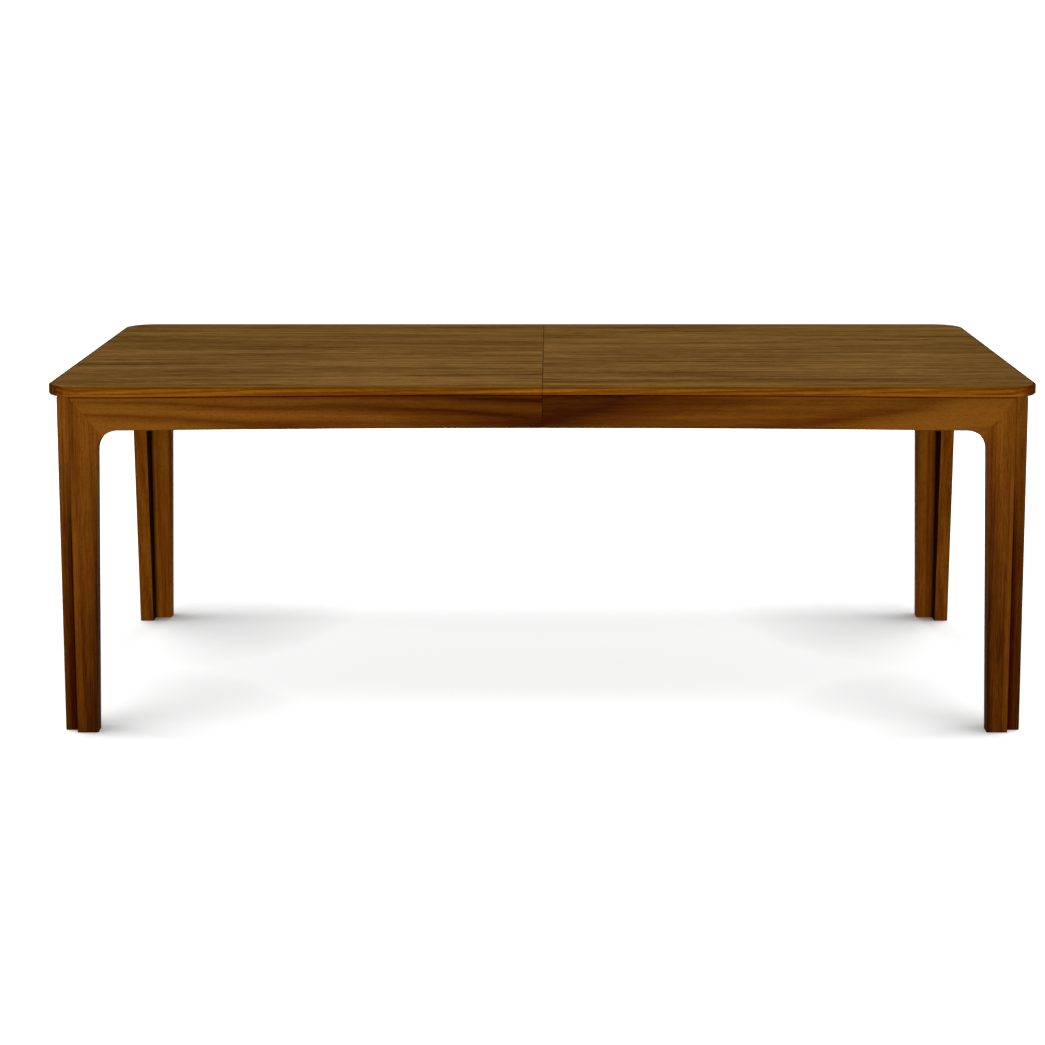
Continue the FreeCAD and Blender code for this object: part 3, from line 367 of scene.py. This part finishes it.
    def surface(self, tree: bpy.types.NodeTree, shader: bpy.types.Node, colour: bpy.types.NodeSocket,
                fibre: bpy.types.NodeSocket, pore: bpy.types.NodeSocket) -> None:
        """Joins the figure to the shader, with rougher pores and a slight relief.

        Args:
            tree: the material's nodes.
            shader: the surface shader.
            colour: the wood's colour.
            fibre: the fibres' value.
            pore: the pores' value.
        """
        for band in self.bands:
            colour = band.over(tree, colour)
        tree.links.new(colour, shader.inputs["Base Color"])
        least, most = (self.roughness + spread for spread in self.gloss_spread)
        rough = add_node(tree, "MapRange", {"Value": fibre, "To Min": least, "To Max": most}).outputs[0]
        dull = add_node(tree, "Math", {0: pore, 1: self.pore_roughness, 2: rough},
                        operation="MULTIPLY_ADD").outputs[0]
        tree.links.new(dull, shader.inputs["Roughness"])
        shader.inputs["Specular IOR Level"].default_value = self.specular
        height = add_node(tree, "Math", {0: fibre, 1: self.fibre_relief}, operation="MULTIPLY").outputs[0]
        relief = add_node(tree, "Math", {0: height, 1: pore}, operation="SUBTRACT").outputs[0]
        bump = add_node(tree, "Bump", {"Height": relief, "Distance": self.pore_depth,
                                       "Strength": self.relief})
        tree.links.new(bump.outputs[0], shader.inputs["Normal"])

    def material(self) -> bpy.types.Material:
        """Builds the finish."""
        material, tree, shader = new_material(self.name)
        self.surface(tree, shader, *self.figure(tree, self.place(tree)))
        return material


# Walnut shows brown heartwood, from near black late wood to golden early wood, under a thin oil
WALNUT = Wood("oiled_walnut", deep="#3a1502", body="#653508", pale="#8a5416", specular=0.004)


@dataclass(frozen=True)
class VeneeredTop:
    """A walnut veneered slab: straight leaves laid side by side, inside a lipping of solid walnut."""

    veneer: Wood
    lipping: Wood
    half_length: float
    half_width: float
    corner: float = 65 * MM
    lipping_width: float = 5 * MM
    leaf_width: float = 118 * MM
    leaf_jump: tuple[float, float, float] = (3.0, 0.3, 0.05)
    painted_arris_light: tuple[Band, ...] = ()

    def rim(self, tree: bpy.types.NodeTree, place: bpy.types.NodeSocket) -> tuple:
        """Where the lipping is.

        Args:
            tree: the material's nodes.
            place: object coordinates.

        Returns:
            One on the lipping and nought elsewhere, then one where the lipping follows an end.
        """
        away = add_node(tree, "VectorMath", {0: place}, operation="ABSOLUTE").outputs[0]
        inner = (self.half_length - self.corner, self.half_width - self.corner, 1.0)
        past = add_node(tree, "VectorMath", {0: away, 1: inner}, operation="SUBTRACT").outputs[0]
        out = add_node(tree, "VectorMath", {0: past, 1: (0, 0, 0)}, operation="MAXIMUM").outputs[0]
        reach = add_node(tree, "VectorMath", {0: out}, operation="LENGTH").outputs["Value"]
        edge = self.corner - self.lipping_width
        on = add_node(tree, "Math", {0: reach, 1: edge}, operation="GREATER_THAN").outputs[0]
        parts = add_node(tree, "SeparateXYZ", {0: out})
        end = add_node(tree, "Math", {0: parts.outputs[0], 1: parts.outputs[1]}, operation="GREATER_THAN")
        return on, end.outputs[0]

    def leaves(self, tree: bpy.types.NodeTree, place: bpy.types.NodeSocket) -> bpy.types.NodeSocket:
        """Coordinates that jump to another stretch of the log at each joint between veneer leaves."""
        row = add_node(tree, "SeparateXYZ", {0: place}).outputs[1]
        count = add_node(tree, "Math", {0: row, 1: 1 / self.leaf_width}, operation="MULTIPLY").outputs[0]
        number = add_node(tree, "Math", {0: count}, operation="FLOOR").outputs[0]
        jump = add_node(tree, "TexWhiteNoise", {"W": number}, noise_dimensions="1D").outputs["Color"]
        return add_node(tree, "VectorMath", {0: jump, 1: self.leaf_jump, 2: place},
                        operation="MULTIPLY_ADD").outputs[0]

    def material(self) -> bpy.types.Material:
        """Builds the finish."""
        material, tree, shader = new_material(self.veneer.name)
        coordinates = add_node(tree, "TexCoord").outputs["Object"]
        on, end = self.rim(tree, coordinates)
        veneer = self.veneer.figure(tree, self.leaves(tree, self.veneer.place(tree)))
        turned = add_node(tree, "Mapping", {"Vector": coordinates, "Rotation": Grain.ACROSS.turn})
        along = add_node(tree, "Mix", {0: end, VECTOR_A: coordinates, VECTOR_B: turned.outputs[0]},
                         data_type="VECTOR")
        solid = self.lipping.figure(tree, along.outputs[VECTOR_OUT])
        edged = solid[0]
        # Painted shade and a painted highlight laid over the lipping's arrises and ends
        for arris in self.painted_arris_light:
            edged = arris.over(tree, edged)
        colour = add_node(tree, "Mix", {0: on, COLOUR_A: veneer[0], COLOUR_B: edged},
                          data_type="RGBA").outputs[COLOUR_OUT]
        fibre, pore = (add_node(tree, "Mix", {0: on, FLOAT_A: leaf, FLOAT_B: edge},
                                data_type="FLOAT").outputs[FLOAT_OUT]
                       for leaf, edge in zip(veneer[1:], solid[1:]))
        self.veneer.surface(tree, shader, colour, fibre, pore)
        return material


@dataclass(frozen=True)
class Metal:
    """Drawn or stamped metal: fine brushing with slightly uneven gloss and soft stains."""

    name: str
    colour: str
    dull: str
    roughness: float
    brushing: float = 0.4 * MM
    brush_stretch: float = 40.0
    brush_depth: float = 0.02 * MM
    brush_relief: float = 0.4
    stain: float = 12 * MM
    gloss_spread: tuple[float, float] = (-0.08, 0.12)

    def material(self) -> bpy.types.Material:
        """Builds the finish."""
        material, tree, shader = new_material(self.name)
        coordinates = add_node(tree, "TexCoord").outputs["Object"]
        scale = (1 / (self.brush_stretch * self.brushing), 1 / self.brushing, 1 / self.brushing)
        drawn = add_node(tree, "Mapping", {"Vector": coordinates, "Scale": scale}).outputs[0]
        lines = add_node(tree, "TexNoise", {"Vector": drawn, "Scale": 1.0, "Detail": 2.0}).outputs["Fac"]
        stain = add_node(tree, "TexNoise", {"Vector": coordinates, "Scale": 1 / self.stain, "Detail": 3.0})
        layers = {0: stain.outputs["Fac"], COLOUR_A: linear(self.colour), COLOUR_B: linear(self.dull)}
        tone = add_node(tree, "Mix", layers, data_type="RGBA").outputs[COLOUR_OUT]
        tree.links.new(tone, shader.inputs["Base Color"])
        shader.inputs["Metallic"].default_value = 1.0
        least, most = (self.roughness + spread for spread in self.gloss_spread)
        gloss = add_node(tree, "MapRange", {"Value": lines, "To Min": least, "To Max": most}).outputs[0]
        tree.links.new(gloss, shader.inputs["Roughness"])
        bump = add_node(tree, "Bump", {"Height": lines, "Distance": self.brush_depth,
                                       "Strength": self.brush_relief})
        tree.links.new(bump.outputs[0], shader.inputs["Normal"])
        return material


# Zinc plate is a cool pale grey with a soft sheen, and satin brass is a warm yellow
STEEL = Metal("zinc_plated_steel", "#b9bcc0", "#8f9296", 0.34)
BRASS = Metal("satin_brass", "#c9a24e", "#9a7430", 0.32)


def dress(node: str, material: bpy.types.Material) -> None:
    """Gives a CAD node its finish.

    Args:
        node: the node's name.
        material: the finish.
    """
    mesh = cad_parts[node].data
    mesh.materials.clear()
    mesh.materials.append(material)
    LOG.info("%s: %s", node, material.name)


@dataclass
class Top:
    """The two half tops and the folding leaf, veneered and lipped alike."""

    # Sliced walnut veneer is straighter than solid wood, and its thin oil leaves it matt; its greyer colour
    # is partly its own and partly a painted sheen
    veneer: Wood = replace(
        WALNUT,
        deep="#3f280c",
        body="#684920",
        pale="#876738",
        cut=Cut(ring=7 * MM, pith=(0.0, 0.3, 0.6), tilt=(0.0, 0.004, 0.006), sway=9 * MM, ring_weight=0.12,
                streak_weight=0.80, fibre_weight=0.75, cloud_weight=0.45),
        roughness=0.62,
        specular=0.0,
        streak=3.5 * MM,
        bands=(Band(),),
    )
    # Solid walnut lipping is redder and warmer than the veneer it frames
    lipping: Wood = replace(WALNUT, deep="#521e01", body="#7a4406", pale="#aa681a")
    # Painted light on the lipping: painted shade on the upper round, a painted highlight on the lower
    # chamfer, and painted shade darkening both ends toward the corners
    painted_arris_light: tuple[Band, ...] = (
        Band(723 * MM, -2.5 * MM, 0.65, "#4c2a03", axis=2),
        Band(708 * MM, 1.5 * MM, 0.6, "#a85c30", axis=2),
        Band(990 * MM, -22 * MM, 0.7, "#3c0a02"),
    )

    def dress(self) -> None:
        """Dresses the half tops, whose lipping shows, and the leaf's halves, which have none."""
        corner = CAD_BOX[1]
        for node in ("top_left", "top_right", "leaf_half_upper", "leaf_half_lower"):
            folded = node.startswith("leaf")
            bands, painted_arris_light = ((), ()) if folded else (self.veneer.bands, self.painted_arris_light)
            veneer = replace(self.veneer, name=f"walnut_veneer_{node}", bands=bands)
            lipping = replace(self.lipping, name=f"walnut_lipping_{node}")
            dress(node, VeneeredTop(veneer, lipping, corner.x, corner.y, painted_arris_light=painted_arris_light).material())


@dataclass
class BoardFrames:
    """The aprons and legs: solid walnut boards, each from its own stretch of a log."""

    # Oiled walnut sawn near the pith shows long flames, and these boards pale away from the seam
    apron: Wood = replace(
        WALNUT,
        body="#603207",
        pale="#845015",
        bands=(Band(),),
        streak=9 * MM,
        cut=Cut(ring=18 * MM, pith=(0.0, 0.05, 0.01), tilt=(0.0, 0.008, 0.030), sway=17 * MM,
                ring_weight=0.42, streak_weight=0.30, fibre_weight=0.24, cloud_weight=0.25, drift=0.38),
    )
    # Oiled walnut sawn far from the pith shows straight lines, and the legs are darker toward the foot as
    # painted shade
    leg: Wood = replace(
        WALNUT,
        body="#6a380a",
        cut=Cut(ring=24 * MM, pith=(0.0, 0.3, 0.5), sway=30 * MM, ring_weight=0.18, drift=0.38, level=0.42),
    )
    # The rear legs' oiled walnut is painted paler and redder, as painted light where the top and aprons shade
    # them, and it is even from top to foot
    painted_lighter_back_leg: Wood = replace(
        WALNUT,
        deep="#501f03",
        body="#80450b",
        pale="#9f621a",
        cut=Cut(ring=24 * MM, pith=(0.0, 0.3, 0.5), sway=30 * MM, ring_weight=0.18, drift=0.10, level=0.2),
    )
    # Painted shade: dark tones on the legs' inner edges, on the rear end boards' inner faces and in the
    # corners between each leg's two boards, some growing toward the foot
    bands: dict[str, tuple[Band, ...]] = field(default_factory=lambda: {
        "side_leg_front": (Band(912 * MM, 26 * MM, 0.6, "#2a0a02", (0.64, 0.25)),),
        "end_leg_front": (Band(967 * MM, 16 * MM, 0.95, "#2a0300", (0.62, 0.40), lead=6 * MM),),
        "side_leg_rear": (Band(908 * MM, 14 * MM, 0.6), Band(957 * MM, -7 * MM, 0.8)),
        "end_leg_rear": (Band(958.2 * MM, 1.2 * MM, 0.97),),
    })

    def dress(self) -> None:
        """Dresses each apron and leg board with its fibres along its length."""
        for node in sorted(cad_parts):
            if not node.startswith(("side_", "end_")):
                continue
            low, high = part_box(node)
            own = {"name": f"walnut_{node}", "middle": tuple((low + high) / 2)}
            if node.startswith("side_apron"):
                board = replace(self.apron, **own)
            elif node.startswith("end_apron"):
                board = replace(self.apron, grain=Grain.ACROSS, bands=(), **own)
            else:
                # The rear legs take the copy painted paler as painted light
                board = replace(self.painted_lighter_back_leg if "rear" in node else self.leg, grain=Grain.UPRIGHT,
                                bands=self.bands[node.rsplit("_", 1)[0]], **own)
            dress(node, board.material())


@dataclass
class Works:
    """What lies under the top: beech slides and rails, steel gearing and screws, brass fittings."""

    # Sealed beech is a pale pinkish brown with fine, even lines and a slight sheen
    beech: Wood = Wood("sealed_beech", deep="#9c6b42", body="#c4966a", pale="#dbb58a", streak=4 * MM,
                       cut=Cut(ring_weight=0.2, streak_weight=0.3, fibre_weight=0.4, cloud_weight=0.3))

    def dress(self, steel: bpy.types.Material, brass: bpy.types.Material) -> None:
        """Dresses every hidden node.

        Args:
            steel: the gearing's and the screws' finish.
            brass: the fittings' finish.
        """
        metals = {"pinion": steel, "rack": steel, "hinge_pins": steel, "top_screws": steel,
                  "hinge_plates": brass, "catch": brass, "seam_pins": brass}
        for node in sorted(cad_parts):
            if node.startswith(("slide_", "cleats")):
                dress(node, replace(self.beech, name=f"beech_{node}").material())
            elif node.startswith(("cross_rail", "leaf_bearer", "corner_block")):
                dress(node, replace(self.beech, name=f"beech_{node}", grain=Grain.ACROSS).material())
            else:
                for start, metal in metals.items():
                    if node.startswith(start):
                        dress(node, metal)


@dataclass(frozen=True)
class Head:
    """A domed screw head with a cross recess.

    The dome's points are shares of the radius and of the height, and the recess's mouth and hub are shares of
    the radius. An arm of the cross takes in the faces within the half arm, in degrees, of its middle line.
    """

    radius: float
    height: float
    recess: float
    dome: tuple[tuple[float, float], ...] = ((1.0, 0.0), (1.0, 0.25), (0.87, 0.62), (0.68, 0.88))
    mouth: float = 0.50
    hub: float = 0.15
    half_arm: float = 8.0
    steps: int = 24

    def turn(self, shape: bmesh.types.BMesh, place: tuple[float, float, float]) -> None:
        """Adds the head to a mesh, pointing down from a face.

        Args:
            shape: the mesh.
            place: the middle of the head's seat.
        """
        old_verts, old_faces = set(shape.verts), set(shape.faces)
        outline = (*self.dome, (self.mouth, 1.0), (self.hub, 1.0))
        verts = [shape.verts.new((reach * self.radius, 0.0, rise * self.height)) for reach, rise in outline]
        edges = [shape.edges.new(pair) for pair in zip(verts, verts[1:])]
        bmesh.ops.spin(shape, geom=verts + edges, cent=(0, 0, 0), axis=(0, 0, 1), angle=2 * math.pi,
                       steps=self.steps, use_merge=True)
        open_edges = [edge for edge in shape.edges if edge.is_boundary]
        bmesh.ops.holes_fill(shape, edges=open_edges, sides=self.steps)
        cross = [face for face in shape.faces if face not in old_faces and self.in_cross(face)]
        pushed = bmesh.ops.extrude_face_region(shape, geom=cross)["geom"]
        bmesh.ops.delete(shape, geom=cross, context="FACES")
        floor = [item for item in pushed if isinstance(item, bmesh.types.BMVert)]
        bmesh.ops.translate(shape, verts=floor, vec=(0, 0, -self.recess))
        new = [vert for vert in shape.verts if vert not in old_verts]
        seat = Matrix.Translation(place) @ Matrix.Rotation(math.pi, 4, "X")
        bmesh.ops.transform(shape, matrix=seat, verts=new)
        faces = [face for face in shape.faces if face not in old_faces]
        bmesh.ops.recalc_face_normals(shape, faces=faces)

    def in_cross(self, face: bmesh.types.BMFace) -> bool:
        """Whether a face lies in the recess: on the flat top, in its mouth, and in the hub or an arm.

        Args:
            face: a face of the head, before the head is set in its place.

        Returns:
            True for a face that is pushed in.
        """
        middle = face.calc_center_median()
        away = middle.xy.length / self.radius
        lowest = 0.99 * self.height
        if middle.z < lowest or away > self.mouth:
            return False
        off = math.degrees(math.atan2(middle.y, middle.x)) % 90
        return away < self.hub or min(off, 90 - off) < self.half_arm


@dataclass
class Fasteners:
    """The screws under the table, which hold the cross rails, the bearers and the catches.

    Each face is the height that the heads hang from. The rows give the cross rail's middle and the distance
    of its screws from the table's middle line, and the pair is half the distance between two screws of a row.
    """

    pan: Head = Head(4 * MM, 2.4 * MM, 1.3 * MM)
    flush: Head = Head(2.3 * MM, 0.2 * MM, 0.15 * MM)
    rail_face: float = 640.9 * MM
    bearer_face: float = 641.2 * MM
    plate_face: float = 702 * MM
    rows: dict[str, tuple[float, float]] = field(default_factory=lambda: {
        "left": (-250 * MM, 316 * MM),
        "right": (250 * MM, 269 * MM),
    })
    bearers: float = 120 * MM
    carrier_row: float = 292.5 * MM
    pair: float = 15 * MM
    plate_middle: tuple[float, float] = (20 * MM, 436 * MM)
    plate_corner: tuple[float, float] = (10 * MM, 13 * MM)

    def make_heads(self, name: str, head: Head, places: list[tuple[float, float, float]], body: str,
                   material: bpy.types.Material) -> None:
        """Makes one piece of all the heads of a kind on a body.

        Args:
            name: the piece's name.
            head: the kind of head.
            places: the middles of their seats.
            body: the body that they ride on.
            material: their finish.
        """
        shape = bmesh.new()
        for place in places:
            head.turn(shape, place)
        mesh = bpy.data.meshes.new(name)
        shape.to_mesh(mesh)
        shape.free()
        mesh.materials.append(material)
        piece = bpy.data.objects.new(name, mesh)
        bpy.context.scene.collection.objects.link(piece)
        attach(piece, body)
        LOG.info("%s: %d heads on %s", name, len(places), body)

    def make(self, steel: bpy.types.Material, brass: bpy.types.Material) -> None:
        """Makes all the heads.

        Args:
            steel: the wood screws' finish.
            brass: the catch screws' finish.
        """
        both = (-1, 1)
        for side, (middle, row) in self.rows.items():
            places = [(middle + step * self.pair, end * row, self.rail_face) for step in both for end in both]
            self.make_heads(f"rail_screws_{side}", self.pan, places, f"{side}_half", steel)
        places = [(side * self.bearers + step * self.pair, end * self.carrier_row, self.bearer_face)
                  for side in both for step in both for end in both]
        self.make_heads("bearer_screws", self.pan, places, "leaf_carriage", steel)
        for side, sign in (("left", -1), ("right", 1)):
            places = [(sign * self.plate_middle[0] + across * self.plate_corner[0],
                       end * self.plate_middle[1] + along * self.plate_corner[1], self.plate_face)
                      for end in both for across in both for along in both]
            self.make_heads(f"catch_screws_{side}", self.flush, places, f"{side}_half", brass)


@dataclass(frozen=True)
class Lamp:
    """A soft box: where it stands, the point it faces, its width and height, and its power in watts."""

    name: str
    place: tuple[float, float, float]
    aim: tuple[float, float, float]
    size: tuple[float, float]
    power: float

    def add(self) -> None:
        """Adds the lamp to the scene."""
        data = bpy.data.lights.new(self.name, "AREA")
        data.shape = "RECTANGLE"
        data.size, data.size_y = self.size
        data.energy = self.power
        lamp = bpy.data.objects.new(self.name, data)
        lamp.location = self.place
        lamp.rotation_euler = (Vector(self.place) - Vector(self.aim)).to_track_quat("Z", "Y").to_euler()
        bpy.context.scene.collection.objects.link(lamp)


@dataclass
class Studio:
    """A white floor without a horizon, soft lamps and the photograph's camera.

    The floor glows least as far as near and fully from far on. The painted shadow's reach, slope and power
    say how far the floor looks for what stands beside a spot, how much upward, and how strongly that darkens
    its glow.
    """

    camera_place: tuple[float, float, float] = (0.02, -5.187, 1.460)
    camera_down: float = 8.13
    lens: float = 80.86
    shift: tuple[float, float] = (-0.0284, -0.16)
    floor_size: float = 60.0
    floor_glow: float = 0.52
    floor_white: str = "#e8e8e8"
    floor_bounce: str = "#606060"
    fill: float = 0.30
    shade_reach: float = 0.45
    shade_slope: float = 0.15
    shade_power: float = 5.5
    near: float = 1.3
    far: float = 4.0
    lamps: tuple[Lamp, ...] = (
        Lamp("overhead", (0.0, -0.6, 3.4), (0.0, 0.0, 0.5), (4.4, 2.6), 84),
        Lamp("front", (0.0, -5.6, 1.0), (0.0, 0.0, 0.4), (1.6, 1.4), 178),
        Lamp("rear", (0.0, 5.2, 1.2), (0.0, 0.0, 0.4), (1.6, 1.4), 150),
        Lamp("end_left", (-3.2, 0.25, 1.1), (-0.9, 0.0, 0.4), (1.0, 0.8), 22),
        Lamp("end_right", (3.2, 0.25, 1.1), (0.9, 0.0, 0.4), (1.0, 0.8), 22),
    )

    def make_camera(self) -> None:
        """Sets the camera up."""
        data = bpy.data.cameras.new("photo_camera")
        data.lens = self.lens
        data.shift_x, data.shift_y = self.shift
        camera = bpy.data.objects.new("photo_camera", data)
        camera.location = self.camera_place
        camera.rotation_euler = (math.radians(90 - self.camera_down), 0, 0)
        bpy.context.scene.collection.objects.link(camera)
        bpy.context.scene.camera = camera

    def seen(self, tree: bpy.types.NodeTree) -> bpy.types.NodeSocket:
        """One for rays from the camera, a mirror or glass, and nought for the rest."""
        rays = add_node(tree, "LightPath").outputs
        seen = rays["Is Camera Ray"]
        for kind in ("Is Glossy Ray", "Is Transmission Ray"):
            seen = add_node(tree, "Math", {0: seen, 1: rays[kind]}, operation="MAXIMUM").outputs[0]
        return seen

    def make_world(self) -> None:
        """White behind the object, and a plain soft fill on it."""
        world = bpy.data.worlds.new("studio")
        world.use_nodes = True
        tree = world.node_tree
        tree.nodes.clear()
        seen = self.seen(tree)
        strength = add_node(tree, "MapRange", {"Value": seen, "To Min": self.fill, "To Max": 1.0}).outputs[0]
        background = add_node(tree, "Background", {"Color": (1, 1, 1, 1), "Strength": strength})
        add_node(tree, "OutputWorld", {"Surface": background.outputs[0]})
        bpy.context.scene.world = world

    def make_floor(self) -> None:
        """A wide white floor that keeps the object's shadow."""
        mesh = bpy.data.meshes.new("floor")
        shape = bmesh.new()
        bmesh.ops.create_grid(shape, x_segments=1, y_segments=1, size=self.floor_size / 2)
        shape.to_mesh(mesh)
        shape.free()
        floor = bpy.data.objects.new("floor", mesh)
        bpy.context.scene.collection.objects.link(floor)
        # Matt white paint that looks white to the camera but throws little light up under the table
        material, tree, shader = new_material("painted_floor")
        seen = self.seen(tree)
        layers = {0: seen, COLOUR_A: linear(self.floor_bounce), COLOUR_B: linear(self.floor_white)}
        paint = add_node(tree, "Mix", layers, data_type="RGBA").outputs[COLOUR_OUT]
        tree.links.new(paint, shader.inputs["Base Color"])
        shader.inputs["Roughness"].default_value = 1.0
        shader.inputs["Specular IOR Level"].default_value = 0.0
        shader.inputs["Emission Color"].default_value = (1, 1, 1, 1)
        place = add_node(tree, "TexCoord").outputs["Object"]
        away = add_node(tree, "VectorMath", {0: place}, operation="LENGTH").outputs["Value"]
        growth = {"Value": away, "From Min": self.near, "From Max": self.far,
                  "To Min": self.floor_glow, "To Max": 1.0}
        far = add_node(tree, "MapRange", growth).outputs[0]
        glow = add_node(tree, "Math", {0: seen, 1: far}, operation="MULTIPLY").outputs[0]
        # Painted shadow: the glow darkens where a leg stands on the outer side of a spot
        shade = self.open_sides(tree, place)
        glow = add_node(tree, "Math", {0: glow, 1: shade}, operation="MULTIPLY").outputs[0]
        tree.links.new(glow, shader.inputs["Emission Strength"])
        mesh.materials.append(material)

    def open_sides(self, tree: bpy.types.NodeTree, place: bpy.types.NodeSocket) -> bpy.types.NodeSocket:
        """How open each spot of the floor is toward the nearer side, which draws the legs' soft shadows as
        painted shadow on the floor's glow.

        Args:
            tree: the floor's nodes.
            place: object coordinates.

        Returns:
            One in the open, and less where something stands on the outer side of a spot.
        """
        outward = add_node(tree, "VectorMath", {0: place, 1: (1, 0, 0)}, operation="MULTIPLY").outputs[0]
        side = add_node(tree, "VectorMath", {0: outward}, operation="NORMALIZE").outputs[0]
        upward = {0: side, 1: (0, 0, self.shade_slope)}
        slope = add_node(tree, "VectorMath", upward, operation="ADD").outputs[0]
        toward = add_node(tree, "VectorMath", {0: slope}, operation="NORMALIZE").outputs[0]
        occlusion = add_node(tree, "AmbientOcclusion", {"Distance": self.shade_reach, "Normal": toward})
        strength = {0: occlusion.outputs["AO"], 1: self.shade_power}
        return add_node(tree, "Math", strength, operation="POWER").outputs[0]

    def make(self) -> None:
        """Builds the whole studio."""
        bpy.context.scene.view_settings.view_transform = "Standard"
        self.make_camera()
        self.make_world()
        self.make_floor()
        for lamp in self.lamps:
            lamp.add()


def main() -> None:
    """Builds the dressed table and its studio."""
    logging.basicConfig(level=logging.INFO, format="%(name)s %(message)s")
    Studio().make()
    Top().dress()
    BoardFrames().dress()
    steel, brass = STEEL.material(), BRASS.material()
    Works().dress(steel, brass)
    Fasteners().make(steel, brass)


if __name__ == "__main__":
    main()
